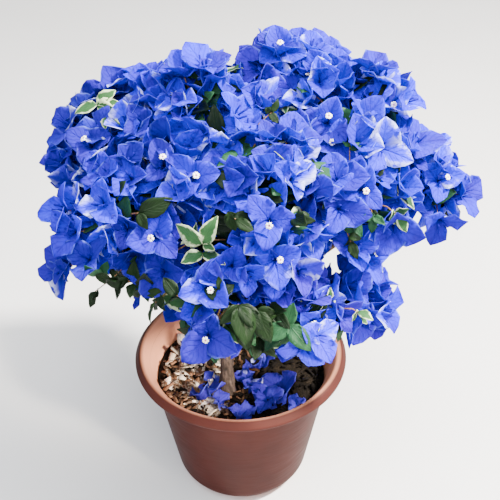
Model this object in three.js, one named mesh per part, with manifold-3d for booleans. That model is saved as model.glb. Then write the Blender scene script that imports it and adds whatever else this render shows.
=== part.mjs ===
// A bougainvillea bush with blue bracts, growing in its own wide plastic pot.
// Millimetres, +Z up. The origin is the centre of the pot's flat underside, and the front is towards -Y.
// Nodes: the pot, its soil, the trunk, seven main boughs, seven side boughs, fourteen masses of twigs,
// bracts and leaves, and the blossoms that have dropped on the soil.
import * as THREE from "three";
import { mergeVertices } from "three/addons/utils/BufferGeometryUtils.js";
import Module from "manifold-3d";

const wasm = await Module();
wasm.setup();

// Gap that touching pieces keep, and the room each mass keeps to the limits of its own space
const CLEARANCE = 0.3;
const SPACE_MARGIN = 0.3;
const LIMB_MARGIN = 2.0;

// How far other masses may cover a direction before it counts as closed in
const OPEN_DEPTH = 30;

// Pot: a flared rim with a rolled lip over a tapering wall with a round foot
const POT = {
  rimRadius: 150,
  lipRadius: 137,
  height: 220,
  lipHeight: 14,
  neckRadius: 129,
  footRadius: 94,
  footRound: 28,
  wall: 3.6,
  floor: 5,
  segments: 40,
};
const FOOT_STEPS = 3;
const SOIL_TOP = 176;

// Trunk: a short stem that stands left of and in front of the pot's middle and leans back to the fork
const TRUNK = {
  foot: new THREE.Vector3(-20, -40, SOIL_TOP + CLEARANCE),
  bend: new THREE.Vector3(-20, -40, 245),
  fork: new THREE.Vector3(-6, -10, 305),
  footRadius: 9.6,
  forkRadius: 6.2,
  flare: 4.5,
  flareHeight: 0.16,
  sides: 10,
  steps: 8,
};

// Masses of foliage: the middle and the radius of the round space that each one fills
const MASSES = {
  front_left: { at: [-30, -122, 414], radius: 80, size: 0.95 },
  front_right: { at: [72, -120, 400], radius: 72, size: 0.9 },
  right_front: { at: [142, -32, 492], radius: 85 },
  right_back: { at: [238, 78, 436], radius: 74 },
  right_spray: { at: [150, -62, 358], radius: 60, size: 0.84 },
  back_right: { at: [62, 150, 438], radius: 103 },
  back_left: { at: [-68, 142, 442], radius: 101 },
  left_back: { at: [-130, 62, 500], radius: 114 },
  left_front: { at: [-118, -37, 480], radius: 112 },
  left_spray: { at: [-196, -30, 390], radius: 72, size: 0.9 },
  top_front: { at: [25, -54, 508], radius: 109 },
  top_left: { at: [-41, 28, 572], radius: 86 },
  top_right: { at: [144, 42, 557], radius: 88 },
  top_back: { at: [66, 80, 574], radius: 88 },
};

// Boughs: what each leaves from, how far up that, and the mass it carries
const BOUGHS = [
  { mass: "left_front", parent: "trunk", up: 0.74 },
  { mass: "right_back", parent: "trunk", up: 0.8 },
  { mass: "back_left", parent: "trunk", up: 0.86 },
  { mass: "front_right", parent: "trunk", up: 0.72 },
  { mass: "top_right", parent: "trunk", up: 0.93 },
  { mass: "top_front", parent: "trunk", up: 0.97 },
  { mass: "top_left", parent: "trunk", up: 1 },
  { mass: "left_spray", parent: "left_front", up: 0.4 },
  { mass: "left_back", parent: "back_left", up: 0.42 },
  { mass: "right_spray", parent: "front_right", up: 0.52 },
  { mass: "front_left", parent: "front_right", up: 0.3 },
  { mass: "back_right", parent: "right_back", up: 0.34 },
  { mass: "right_front", parent: "top_right", up: 0.4 },
  { mass: "top_back", parent: "top_left", up: 0.4 },
];
const BOUGH = {
  mainRadius: 5.4,
  sideRadius: 3.9,
  mainTip: 3.1,
  sideTip: 2.5,
  sides: 6,
  steps: 4,
  entry: 0.66,
};

// Twigs inside a mass: the stem runs past the middle, arms leave it and shoots leave the arms and the stem.
// Lengths along a twig are shares.
const STEM = { sides: 4, steps: 3, tipRadius: 2.3, beyond: 0.3 };
const ARM = { count: 5, sides: 3, reach: 0.55, footRadius: 2.3, tipRadius: 2.0, room: 7, first: 0.45 };
const SHOOT = { sides: 3, footRadius: 1.1, tipRadius: 0.9, perArm: 8, lowest: 0.3, slant: 0.4 };

// A blossom of three papery bracts that open as a shallow cup over a small stalk: a ring of points and
// notches round a hollow middle. The notch and the height of the notch are shares; the joint is where the
// shoot ends, to one side of the stalk.
const BLOSSOM = { reach: 42, notch: 0.56, cup: 16, notchLift: 0.35, top: 0.6, stalk: 5, bracts: 3 };
const JOINT = new THREE.Vector3(7, 4, 1.5);
const LAYERS = [
  { spacing: 38, depth: 0, turn: 0 },
  { spacing: 90, depth: 20, turn: 1.9 },
];
const TRIES = 14;
const TRY = { turn: 0.7, deeper: 2.5, lean: 0.3, smaller: 0.985 };

// A leaf below the blossom: a pointed blade
const LEAF = { length: 46, width: 29, thickness: 0.9, widest: 0.42, cup: 3, tipBend: -5, sink: 0.8 };
const LEAF_SHARE = 0.06;

// Dropped blossoms on the soil: place, turn and size
const DROPPED = [
  { x: 26, y: -42, turn: 20, scale: 0.55 },
  { x: 70, y: -60, turn: 75, scale: 0.55 },
  { x: 5, y: -84, turn: 140, scale: 0.5 },
  { x: -45, y: -83, turn: 10, scale: 0.5 },
  { x: 44, y: -92, turn: 260, scale: 0.38 },
];
const DROPPED_CUP = 0.6;

const COLOURS = {
  pot: { color: 0x9a6254, roughness: 0.5, metalness: 0 },
  soil: { color: 0x3f3226, roughness: 0.95, metalness: 0 },
  bark: { color: 0x8a7a66, roughness: 0.9, metalness: 0 },
  blossom: { color: 0x3d56e0, roughness: 0.6, metalness: 0 },
};
const GOLDEN_ANGLE = Math.PI * (3 - Math.sqrt(5));

// A repeatable number from 0 to 1 for three whole numbers
function chance(a, b, c) {
  const wave = Math.sin(a * 12.9898 + b * 78.233 + c * 37.719) * 43758.5453;
  return wave - Math.floor(wave);
}

function materialOf(kind) {
  return new THREE.MeshStandardMaterial(COLOURS[kind]);
}

function solidOf(geometry) {
  const bare = geometry.clone();
  bare.deleteAttribute("normal");
  bare.deleteAttribute("uv");
  const merged = mergeVertices(bare, 1e-4);
  return new wasm.Manifold(
    new wasm.Mesh({
      numProp: 3,
      vertProperties: merged.attributes.position.array,
      triVerts: new Uint32Array(merged.index.array),
    }),
  );
}

function geometryOf(solid) {
  const mesh = solid.getMesh();
  const positions = new Float32Array(mesh.numVert * 3);
  for (let i = 0; i < mesh.numVert; i++) {
    const start = i * mesh.numProp;
    positions.set(mesh.vertProperties.subarray(start, start + 3), i * 3);
  }
  const geometry = new THREE.BufferGeometry();
  geometry.setAttribute("position", new THREE.BufferAttribute(positions, 3));
  geometry.setIndex(new THREE.BufferAttribute(new Uint32Array(mesh.triVerts), 1));
  geometry.computeVertexNormals();
  return geometry;
}

function largestBody(solid) {
  return solid.decompose().reduce((best, body) => (body.volume() > best.volume() ? body : best));
}

function addNode(group, name, geometry, kind) {
  const mesh = new THREE.Mesh(geometry, materialOf(kind));
  mesh.name = name;
  group.add(mesh);
}

// Points of a quarter-like arc between two headings, as round corners of a turned profile
function arc(centreX, centreZ, radius, from, to, steps) {
  const points = [];
  for (let i = 0; i <= steps; i++) {
    const angle = from + ((to - from) * i) / steps;
    points.push(new THREE.Vector2(centreX + radius * Math.cos(angle), centreZ + radius * Math.sin(angle)));
  }
  return points;
}

function turned(profile) {
  return new THREE.LatheGeometry(profile, POT.segments).rotateX(Math.PI / 2);
}

// The slope of the pot's side wall and the height where its inside meets the rim
const WALL_LEAN = Math.atan2(POT.height - POT.lipHeight, POT.neckRadius - POT.footRadius);
const INSIDE_SHIFT = POT.wall / Math.sin(WALL_LEAN);

function innerRadiusAt(z) {
  return POT.footRadius + z / Math.tan(WALL_LEAN) - INSIDE_SHIFT;
}

function potProfile() {
  const neckHeight = POT.height - POT.lipHeight;
  const footReach = POT.footRound * Math.tan(WALL_LEAN / 2);
  const foot = arc(POT.footRadius - footReach, POT.footRound, POT.footRound, -Math.PI / 2, WALL_LEAN - Math.PI / 2, FOOT_STEPS);
  const insideCorner = POT.footRound - POT.floor;
  return [
    new THREE.Vector2(0, 0),
    ...foot,
    new THREE.Vector2(POT.neckRadius, neckHeight),
    new THREE.Vector2(POT.rimRadius - 2.5, neckHeight + 1),
    new THREE.Vector2(POT.rimRadius, neckHeight + 4.5),
    new THREE.Vector2(POT.rimRadius - 1.5, POT.height - 2.5),
    new THREE.Vector2(POT.rimRadius - 5.5, POT.height),
    new THREE.Vector2(POT.lipRadius, POT.height - 1.5),
    new THREE.Vector2(innerRadiusAt(neckHeight) + 2, neckHeight - 2),
    new THREE.Vector2(innerRadiusAt(SOIL_TOP), SOIL_TOP),
    new THREE.Vector2(innerRadiusAt(insideCorner), insideCorner),
    new THREE.Vector2(POT.footRadius - footReach, POT.floor),
    new THREE.Vector2(0, POT.floor),
  ];
}

// The soil fills the pot up to its level top, clear of the wall and the floor
function soilProfile() {
  const insideCorner = POT.footRound - POT.floor;
  const footReach = POT.footRound * Math.tan(WALL_LEAN / 2);
  const low = POT.floor + CLEARANCE;
  return [
    new THREE.Vector2(0, low),
    new THREE.Vector2(POT.footRadius - footReach - CLEARANCE, low),
    new THREE.Vector2(innerRadiusAt(insideCorner) - 2 * CLEARANCE, insideCorner + CLEARANCE),
    new THREE.Vector2(innerRadiusAt(SOIL_TOP) - 2 * CLEARANCE, SOIL_TOP),
    new THREE.Vector2(0, SOIL_TOP),
  ];
}

// A tapering limb round a curve: a cylinder whose rings are carried to the curve's own frames
function limbGeometry(curve, radiusAt, sides, steps) {
  const tube = new THREE.CylinderGeometry(1, 1, 1, sides, steps);
  const frames = curve.computeFrenetFrames(steps, false);
  const place = tube.attributes.position;
  const point = new THREE.Vector3();
  for (let i = 0; i < place.count; i++) {
    const along = THREE.MathUtils.clamp(0.5 + place.getY(i), 0, 1);
    const ring = Math.round(along * steps);
    const radius = radiusAt(ring / steps, Math.atan2(place.getZ(i), place.getX(i)));
    point.copy(curve.getPointAt(ring / steps));
    point.addScaledVector(frames.normals[ring], place.getX(i) * radius);
    point.addScaledVector(frames.binormals[ring], -place.getZ(i) * radius);
    place.setXYZ(i, point.x, point.y, point.z);
  }
  return tube;
}

function taper(from, to, grow = 0) {
  return (along) => THREE.MathUtils.lerp(from, to, along) + grow;
}

function trunkRadius(grow = 0) {
  return (along, angle) => {
    const flare = TRUNK.flare * Math.exp(-along / TRUNK.flareHeight);
    const lobes = 1 + 0.45 * Math.cos(3 * angle + 0.7);
    return THREE.MathUtils.lerp(TRUNK.footRadius, TRUNK.forkRadius, along) + flare * lobes + grow;
  };
}

// How deep a point lies inside its mass's space, a cell that planes cut between it and its neighbours
function depthInSpace(point, name) {
  const own = MASSES[name];
  let depth = own.radius - point.distanceTo(own.centre);
  for (const [other, mass] of Object.entries(MASSES)) {
    if (other === name) {
      continue;
    }
    const gap = own.centre.distanceTo(mass.centre);
    const power = point.distanceToSquared(mass.centre) - mass.radius ** 2;
    const ownPower = point.distanceToSquared(own.centre) - own.radius ** 2;
    depth = Math.min(depth, (power - ownPower) / (2 * gap));
  }
  return depth;
}

// The point where a bough enters its mass: on the way from the fork to the middle, well inside the space
function entryPoint(name, from) {
  const mass = MASSES[name];
  const inward = from.clone().sub(mass.centre).normalize();
  let share = BOUGH.entry;
  const point = new THREE.Vector3();
  do {
    point.copy(mass.centre).addScaledVector(inward, share * mass.radius);
    share -= 0.04;
  } while (depthInSpace(point, name) < 6 && share > 0.1);
  return point;
}

function trunkCurve() {
  return new THREE.QuadraticBezierCurve3(TRUNK.foot, TRUNK.bend, TRUNK.fork);
}

// Works out every bough's curve, its radii and what it leaves from
function planBoughs(trunk) {
  const plans = new Map([["trunk", { curve: trunk, radiusAt: trunkRadius() }]]);
  for (const bough of BOUGHS) {
    const parent = plans.get(bough.parent);
    const isMain = bough.parent === "trunk";
    const goesOn = bough.up === 1;
    const heading = parent.curve.getTangentAt(bough.up);
    const start = parent.curve.getPointAt(bough.up).addScaledVector(heading, goesOn ? CLEARANCE : 0);
    const end = entryPoint(bough.mass, start);
    const span = end.distanceTo(start);
    const straight = end.clone().sub(start).normalize();
    const leave = goesOn ? heading.clone() : straight.clone().lerp(heading, 0.25).normalize();
    const arrive = MASSES[bough.mass].centre.clone().sub(end).normalize().lerp(straight, 0.5).normalize();
    const curve = new THREE.CubicBezierCurve3(
      start,
      start.clone().addScaledVector(leave, span * 0.36),
      end.clone().addScaledVector(arrive, -span * 0.3),
      end,
    );
    const foot = goesOn ? TRUNK.forkRadius : isMain ? BOUGH.mainRadius : BOUGH.sideRadius;
    const tip = isMain ? BOUGH.mainTip : BOUGH.sideTip;
    plans.set(bough.mass, { curve, foot, tip, radiusAt: taper(foot, tip), parent: bough.parent, goesOn });
  }
  return plans;
}

function boughGeometry(plan, grow = 0) {
  return limbGeometry(plan.curve, taper(plan.foot, plan.tip, grow), BOUGH.sides, BOUGH.steps);
}

function boughSolids(plans, trunkGrown) {
  const solids = new Map();
  const grown = new Map([["trunk", trunkGrown]]);
  for (const bough of BOUGHS) {
    const plan = plans.get(bough.mass);
    let solid = solidOf(boughGeometry(plan));
    for (const [name, cutter] of grown) {
      if (name === bough.parent && plan.goesOn) {
        continue;
      }
      solid = solid.subtract(cutter);
    }
    solids.set(bough.mass, largestBody(solid));
    grown.set(bough.mass, solidOf(boughGeometry(plan, CLEARANCE)));
  }
  return solids;
}

// Spheres along every limb, to keep twigs and leaves off them
function limbBeads(plans) {
  const beads = [];
  for (const plan of plans.values()) {
    const count = Math.ceil(plan.curve.getLength() / 4);
    for (let i = 0; i <= count; i++) {
      const along = i / count;
      const radius = plan.radiusAt(along, 0) + LIMB_MARGIN;
      beads.push({ at: plan.curve.getPointAt(along), radius });
    }
  }
  return beads;
}

// A thin pointed blade of eight faces: an octahedron drawn out to a root, two shoulders and a tip
function bladeGeometry(shape, frame, size) {
  const blade = new THREE.OctahedronGeometry(1);
  const place = blade.attributes.position;
  for (let i = 0; i < place.count; i++) {
    const [x, y, z] = [place.getX(i), place.getY(i), place.getZ(i)].map(Math.round);
    const along = y < 0 ? -shape.sink : y > 0 ? shape.length * size : shape.length * size * shape.widest;
    const lift = x !== 0 ? shape.cup * size : y > 0 ? shape.tipBend * size : 0;
    place.setXYZ(i, (x * shape.width * size) / 2, along, (z * shape.thickness) / 2 + lift);
  }
  return blade.applyMatrix4(frame);
}

// A blossom as one closed shell: a flattened ball of two rows whose ring is drawn out to points and notches
function blossomGeometry(frame, size, cup = BLOSSOM.cup) {
  const shell = new THREE.SphereGeometry(1, 2 * BLOSSOM.bracts, 2).rotateX(Math.PI / 2);
  const place = shell.attributes.position;
  for (let i = 0; i < place.count; i++) {
    const [x, y, z] = [place.getX(i), place.getY(i), Math.round(place.getZ(i))];
    const turn = Math.round((Math.atan2(y, x) / Math.PI) * BLOSSOM.bracts);
    const isNotch = Math.abs(turn) % 2 === 1;
    const reach = z !== 0 ? 0 : BLOSSOM.reach * size * (isNotch ? BLOSSOM.notch : 1);
    const ringLift = cup * size * (isNotch ? BLOSSOM.notchLift : 1);
    const lift = z > 0 ? BLOSSOM.top : z < 0 ? -BLOSSOM.stalk : ringLift;
    const angle = (turn * Math.PI) / BLOSSOM.bracts;
    place.setXYZ(i, reach * Math.cos(angle), reach * Math.sin(angle), lift);
  }
  return shell.applyMatrix4(frame);
}

// A frame at a root, from the way a piece points and the way it is turned round that
function frameAt(root, forward, sideways) {
  const side = new THREE.Vector3().crossVectors(forward, sideways).normalize();
  const back = new THREE.Vector3().crossVectors(forward, side).normalize();
  return new THREE.Matrix4().makeBasis(side, back, forward.clone().normalize()).setPosition(root);
}

// A blade's frame: its root, the way it points and the way its face looks
function bladeFrame(root, heading, face) {
  const side = new THREE.Vector3().crossVectors(heading, face).normalize();
  const normal = new THREE.Vector3().crossVectors(side, heading).normalize();
  return new THREE.Matrix4().makeBasis(side, heading.clone().normalize(), normal).setPosition(root);
}

function pieceOf(geometry) {
  geometry.computeBoundingBox();
  return { geometry, solid: solidOf(geometry), box: geometry.boundingBox };
}

function isClear(piece, others) {
  return !others.some(
    (other) => other.box.intersectsBox(piece.box) && !other.solid.intersect(piece.solid).isEmpty(),
  );
}

// Whether a thin piece stays in its mass's space and off the limbs
function isInRoom(geometry, name, beads) {
  const flat = (geometry.index ? geometry.toNonIndexed() : geometry).attributes.position;
  const corners = [];
  for (let i = 0; i < flat.count; i++) {
    corners.push(new THREE.Vector3().fromBufferAttribute(flat, i));
  }
  if (corners.some((corner) => depthInSpace(corner, name) < SPACE_MARGIN)) {
    return false;
  }
  for (let i = 0; i < corners.length; i += 3) {
    for (let a = 0; a <= 4; a++) {
      for (let b = 0; b <= 4 - a; b++) {
        const point = corners[i].clone().multiplyScalar(a / 4);
        point.addScaledVector(corners[i + 1], b / 4).addScaledVector(corners[i + 2], (4 - a - b) / 4);
        if (beads.some((bead) => bead.at.distanceTo(point) < bead.radius)) {
          return false;
        }
      }
    }
  }
  return true;
}

// A straight twig from one point to another, unless it would touch a limb
function twigPiece(from, to, foot, tip, sides, beads) {
  const line = new THREE.LineCurve3(from, to);
  const count = Math.ceil(line.getLength() / 4);
  for (let i = 0; i <= count; i++) {
    const point = line.getPointAt(i / count);
    if (beads.some((bead) => bead.at.distanceTo(point) < bead.radius + foot - LIMB_MARGIN / 2)) {
      return null;
    }
  }
  return pieceOf(limbGeometry(line, taper(foot, tip), sides, 1));
}

function fibonacciDirection(k, count, turn) {
  const z = 1 - (2 * (k + 0.5)) / count;
  const flat = Math.sqrt(1 - z * z);
  const angle = k * GOLDEN_ANGLE + turn;
  return new THREE.Vector3(flat * Math.cos(angle), flat * Math.sin(angle), z);
}

function aroundAxis(axis, angle) {
  const helper = Math.abs(axis.z) < 0.9 ? new THREE.Vector3(0, 0, 1) : new THREE.Vector3(1, 0, 0);
  return helper.cross(axis).normalize().applyAxisAngle(axis, angle);
}

// How far the space of a mass reaches from its middle in one direction
function wayOut(mass, name, axis) {
  let [near, far] = [0, mass.radius];
  for (let i = 0; i < 10; i++) {
    const middle = (near + far) / 2;
    const isInside = depthInSpace(mass.centre.clone().addScaledVector(axis, middle), name) > 0;
    [near, far] = isInside ? [middle, far] : [near, middle];
  }
  return near;
}

// How far from the middle a blossom that faces outwards may root, so that its points stay in
function rootReach(radius, size) {
  const reach = BLOSSOM.reach * size;
  return Math.sqrt(Math.max(radius ** 2 - reach ** 2, 0)) - BLOSSOM.cup * size - SPACE_MARGIN;
}

// The shoot that carries a blossom, from the nearest foothold that is free and gives it a clear way
function placeShoot(joint, facing, tree) {
  const { footholds, farBeads, placed } = tree;
  footholds.sort((a, b) => a.at.distanceTo(joint) - b.at.distanceTo(joint));
  for (const foothold of footholds.slice(0, 10)) {
    const way = joint.clone().sub(foothold.at);
    if (way.length() < 8 || way.normalize().dot(facing) < SHOOT.slant) {
      continue;
    }
    const shoot = twigPiece(foothold.at, joint, SHOOT.footRadius, SHOOT.tipRadius, SHOOT.sides, farBeads);
    const others = placed.filter((other) => other !== foothold.limb);
    if (shoot && isClear(shoot, others)) {
      foothold.limb.bears = true;
      footholds.splice(footholds.indexOf(foothold), 1);
      return { ...shoot, from: foothold.at };
    }
  }
  return null;
}

// One blossom with its shoot, near a direction from the middle: leaned, turned and sunk more at each try
function placeBlossom(tree, seed, axis, layer) {
  const { mass, name, massIndex, beads, placed } = tree;
  for (let attempt = 0; attempt < TRIES; attempt++) {
    const size = (mass.size ?? 1) * (0.94 + 0.12 * chance(massIndex, seed, 6)) * TRY.smaller ** attempt;
    const lean = TRY.lean * (0.4 + 0.25 * attempt) * chance(massIndex, seed, 7 + attempt);
    const facing = axis.clone().addScaledVector(aroundAxis(axis, 6.3 * chance(massIndex, seed, 17 + attempt)), lean);
    facing.normalize();
    const reach = rootReach(wayOut(mass, name, axis), size) - layer.depth - TRY.deeper * attempt;
    const root = mass.centre.clone().addScaledVector(axis, Math.max(reach, 4));
    const roll = 6.3 * chance(massIndex, seed, 3) + TRY.turn * attempt;
    const frame = frameAt(root, facing, aroundAxis(facing, roll));
    const blossom = pieceOf(blossomGeometry(frame, size));
    if (!isInRoom(blossom.geometry, name, beads) || !isClear(blossom, placed)) {
      continue;
    }
    const joint = JOINT.clone().multiplyScalar(size).applyMatrix4(frame);
    const shoot = placeShoot(joint, facing, tree);
    if (shoot) {
      placed.push(blossom, shoot);
      return { from: shoot.from, to: joint };
    }
  }
  return null;
}

// One leaf on a shoot, with its face turned up and out
function placeLeaf(tree, seed, shoot) {
  const { name, massIndex, beads, placed } = tree;
  const axis = shoot.to.clone().sub(shoot.from).normalize();
  for (let attempt = 0; attempt < TRIES; attempt++) {
    const root = shoot.from.clone().lerp(shoot.to, 0.3 + 0.5 * chance(massIndex, seed, 21 + attempt));
    const out = aroundAxis(axis, 2 * Math.PI * chance(massIndex, seed, 31 + attempt));
    const heading = out.multiplyScalar(0.8).addScaledVector(axis, 0.6).normalize();
    const face = new THREE.Vector3(0, 0, 1).addScaledVector(axis, 0.6);
    const size = 0.85 + 0.3 * chance(massIndex, seed, 23);
    const leaf = pieceOf(bladeGeometry(LEAF, bladeFrame(root, heading, face), size));
    const others = placed.filter((other) => other !== shoot.piece);
    if (isInRoom(leaf.geometry, name, beads) && isClear(leaf, others)) {
      placed.push(leaf);
      return;
    }
  }
}

function addFootholds(tree, limb, curve) {
  for (let i = 0; i < SHOOT.perArm; i++) {
    const along = THREE.MathUtils.lerp(SHOOT.lowest, 0.97, i / (SHOOT.perArm - 1));
    tree.footholds.push({ at: curve.getPointAt(along), limb });
  }
}

// The arms of a mass: they leave its stem one above the other, wherever its space gives them room
function placeArms(tree, stem, stemCurve) {
  const { mass, name, massIndex, farBeads } = tree;
  for (let a = 0; a < ARM.count; a++) {
    const way = fibonacciDirection(a, ARM.count, massIndex);
    const end = mass.centre.clone().addScaledVector(way, ARM.reach * mass.radius);
    const from = stemCurve.getPointAt(THREE.MathUtils.lerp(ARM.first, 0.95, a / (ARM.count - 1)));
    const arm = twigPiece(from, end, ARM.footRadius, ARM.tipRadius, ARM.sides, farBeads);
    if (arm && depthInSpace(end, name) > ARM.room && isClear(arm, tree.arms)) {
      tree.arms.push(arm);
      addFootholds(tree, arm, new THREE.LineCurve3(from, end));
    }
  }
  addFootholds(tree, stem, stemCurve);
  tree.placed.push(stem, ...tree.arms);
}

// A mass: the stem goes on from its bough's tip past the middle of the space and bears all the rest
function massSolid(name, massIndex, plan, beads) {
  const mass = MASSES[name];
  const heading = plan.curve.getTangentAt(1);
  const foot = plan.curve.getPointAt(1).addScaledVector(heading, CLEARANCE);
  const knee = foot.clone().addScaledVector(heading, foot.distanceTo(mass.centre) * 0.5);
  const end = mass.centre.clone().addScaledVector(mass.centre.clone().sub(foot).normalize(), STEM.beyond * mass.radius);
  const stemCurve = new THREE.QuadraticBezierCurve3(foot, knee, end);
  const stem = pieceOf(limbGeometry(stemCurve, taper(plan.tip, STEM.tipRadius), STEM.sides, STEM.steps));
  const farBeads = beads.filter((bead) => bead.at.distanceTo(foot) > plan.tip + LIMB_MARGIN + bead.radius);
  const tree = { mass, name, massIndex, beads, farBeads, placed: [], footholds: [], arms: [] };
  placeArms(tree, stem, stemCurve);

  LAYERS.forEach((layer, layerIndex) => {
    const count = Math.round((4 * Math.PI * mass.radius ** 2) / layer.spacing ** 2);
    for (let k = 0; k < count; k++) {
      const axis = fibonacciDirection(k, count, massIndex + layer.turn);
      const surface = mass.centre.clone().addScaledVector(axis, mass.radius - 1);
      const seed = k + 100 * layerIndex;
      const isOpen = depthInSpace(surface, name) > -OPEN_DEPTH;
      const shoot = isOpen ? placeBlossom(tree, seed, axis, layer) : null;
      if (shoot && chance(massIndex, seed, 20) < LEAF_SHARE) {
        placeLeaf(tree, seed, { ...shoot, piece: tree.placed.at(-1) });
      }
    }
  });
  const used = tree.placed.filter((piece) => piece.bears || !tree.arms.includes(piece));
  return largestBody(wasm.Manifold.union(used.map((piece) => piece.solid)));
}

// A dropped blossom, opened nearly flat, that rests on the soil
function droppedBlossom(spot) {
  const frame = new THREE.Matrix4().makeRotationZ(THREE.MathUtils.degToRad(spot.turn));
  const geometry = blossomGeometry(frame, spot.scale, BLOSSOM.cup * DROPPED_CUP);
  return geometry.translate(spot.x, spot.y, SOIL_TOP + CLEARANCE + BLOSSOM.stalk);
}

function build() {
  const group = new THREE.Group();
  group.name = "bougainvillea_bush";
  Object.values(MASSES).forEach((mass) => {
    mass.centre = new THREE.Vector3(...mass.at);
  });
  addNode(group, "pot", turned(potProfile()), "pot");
  addNode(group, "soil", turned(soilProfile()), "soil");

  const trunk = trunkCurve();
  addNode(group, "trunk", limbGeometry(trunk, trunkRadius(), TRUNK.sides, TRUNK.steps), "bark");
  const trunkGrown = solidOf(limbGeometry(trunk, trunkRadius(CLEARANCE), TRUNK.sides, TRUNK.steps));
  const plans = planBoughs(trunk);
  for (const [name, solid] of boughSolids(plans, trunkGrown)) {
    addNode(group, `bough_${name}`, geometryOf(solid), "bark");
  }
  const beads = limbBeads(plans);
  Object.keys(MASSES).forEach((name, index) => {
    addNode(group, `foliage_${name}`, geometryOf(massSolid(name, index, plans.get(name), beads)), "blossom");
  });
  DROPPED.forEach((spot, index) => {
    addNode(group, `dropped_blossom_${index + 1}`, droppedBlossom(spot), "blossom");
  });
  return group;
}

export default build();
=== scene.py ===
"""The looks of a bougainvillea bush with blue bracts in its plastic pot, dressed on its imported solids.

Metres, +Z up, the front towards -Y. The limbs and masses repeat the solids' own rule: a trunk, boughs that
leave it, and in each mass a stem, arms and shoots, here carried on to finer twigs, bracts and leaves.
"""

import math
from functools import partial
from itertools import combinations

import bpy
import numpy as np
from mathutils import Matrix, Vector


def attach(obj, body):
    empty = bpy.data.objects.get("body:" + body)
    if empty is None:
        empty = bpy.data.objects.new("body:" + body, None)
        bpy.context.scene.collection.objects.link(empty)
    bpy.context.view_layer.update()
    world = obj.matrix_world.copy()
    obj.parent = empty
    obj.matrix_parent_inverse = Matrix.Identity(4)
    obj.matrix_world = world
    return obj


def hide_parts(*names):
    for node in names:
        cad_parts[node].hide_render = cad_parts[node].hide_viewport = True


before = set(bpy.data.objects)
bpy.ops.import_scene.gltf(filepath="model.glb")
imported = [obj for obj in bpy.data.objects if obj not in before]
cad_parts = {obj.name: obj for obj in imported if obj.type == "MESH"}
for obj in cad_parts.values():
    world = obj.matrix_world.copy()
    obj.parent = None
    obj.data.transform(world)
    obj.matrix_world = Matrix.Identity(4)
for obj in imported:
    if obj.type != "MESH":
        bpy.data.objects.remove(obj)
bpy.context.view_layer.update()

bl_info = {
    "name": "Bougainvillea bush in a pot",
    "version": (1, 0, 0),
    "blender": (4, 5, 0),
    "location": "3D View > Sidebar > Bougainvillea",
    "description": "Builds the bush, its pot and the stage around the packed solids",
    "category": "Object",
}

GOLDEN_ANGLE = math.pi * (3 - math.sqrt(5))
UP = np.array((0.0, 0.0, 1.0))

# Trunk, from the soil to the fork
TRUNK_FOOT = Vector((-0.020, -0.040, 0.1763))
TRUNK_BEND = Vector((-0.020, -0.040, 0.245))
TRUNK_FORK = Vector((-0.006, -0.010, 0.305))
TRUNK_RADII = (0.0096, 0.0062)
TRUNK_FLARE = 0.0045
FLARE_SHARE = 0.16

# Masses of foliage: middle and radius of the round space that each fills
MASSES = {
    name: (np.array(middle), radius)
    for name, middle, radius in (
        ("front_left", (-0.030, -0.122, 0.414), 0.080),
        ("front_right", (0.072, -0.120, 0.400), 0.072),
        ("right_front", (0.142, -0.032, 0.492), 0.085),
        ("right_back", (0.238, 0.078, 0.436), 0.074),
        ("right_spray", (0.150, -0.062, 0.358), 0.060),
        ("back_right", (0.062, 0.150, 0.438), 0.103),
        ("back_left", (-0.068, 0.142, 0.442), 0.101),
        ("left_back", (-0.130, 0.062, 0.500), 0.114),
        ("left_front", (-0.118, -0.037, 0.480), 0.112),
        ("left_spray", (-0.196, -0.030, 0.390), 0.072),
        ("top_front", (0.025, -0.054, 0.508), 0.109),
        ("top_left", (-0.041, 0.028, 0.572), 0.086),
        ("top_right", (0.144, 0.042, 0.557), 0.088),
        ("top_back", (0.066, 0.080, 0.574), 0.088),
    )
}

# Boughs: the mass that each carries, the limb that it leaves, and how far up that limb
BOUGHS = (
    ("left_front", "trunk", 0.74), ("right_back", "trunk", 0.80), ("back_left", "trunk", 0.86),
    ("front_right", "trunk", 0.72), ("top_right", "trunk", 0.93), ("top_front", "trunk", 0.97),
    ("top_left", "trunk", 1.0), ("left_spray", "left_front", 0.40), ("left_back", "back_left", 0.42),
    ("right_spray", "front_right", 0.52), ("front_left", "front_right", 0.30),
    ("back_right", "right_back", 0.34), ("right_front", "top_right", 0.40),
    ("top_back", "top_left", 0.40),
)
MAIN_BOUGH_RADII = (0.0054, 0.0031)
SIDE_BOUGH_RADII = (0.0039, 0.0025)
# Where a bough ends in its mass: the first and last share of the radius tried, the step, the least depth
ENTRY_SHARE = 0.66
NEAREST_ENTRY = 0.1
ENTRY_STEP = 0.04
ENTRY_DEPTH = 0.006
# A bough leaves partly along its parent; the shares of its length that its handles reach
LEAVE_ALONG = 0.25
BOUGH_HANDLES = (0.36, 0.30)

# Stem and arms in a mass, as shares of its radius or of a twig's length
STEM_BEYOND = 0.3
ARM_COUNT = 5
ARM_REACH = 0.55
ARM_RISE = 0.06
ARMS_FROM, ARMS_TO = 0.45, 0.95
FOOTHOLDS = 8
LOWEST_FOOTHOLD, HIGHEST_FOOTHOLD = 0.3, 0.99
# An arm's end lies at least this deep in its mass
ARM_ROOM = 0.007
STEM_TIP_RADIUS = 0.0014
ARM_RADII = (0.0017, 0.0012)
BLOSSOM_SHOOT_RADII = (0.0010, 0.0007)
LEAF_SHOOT_RADII = (0.0011, 0.0006)
SPRAY_SHOOT_RADII = (0.0012, 0.0008)
LEAF_TWIG_RADII = (0.0008, 0.0007, 0.0005)

# Blossoms and inner leaves: how far apart in each layer, and how deep the layer lies
BLOSSOM_LAYERS = ((0.040, 0.0), (0.045, 0.016), (0.058, 0.034))
LEAF_LAYERS = ((0.052, 0.028), (0.072, 0.048))
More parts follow.
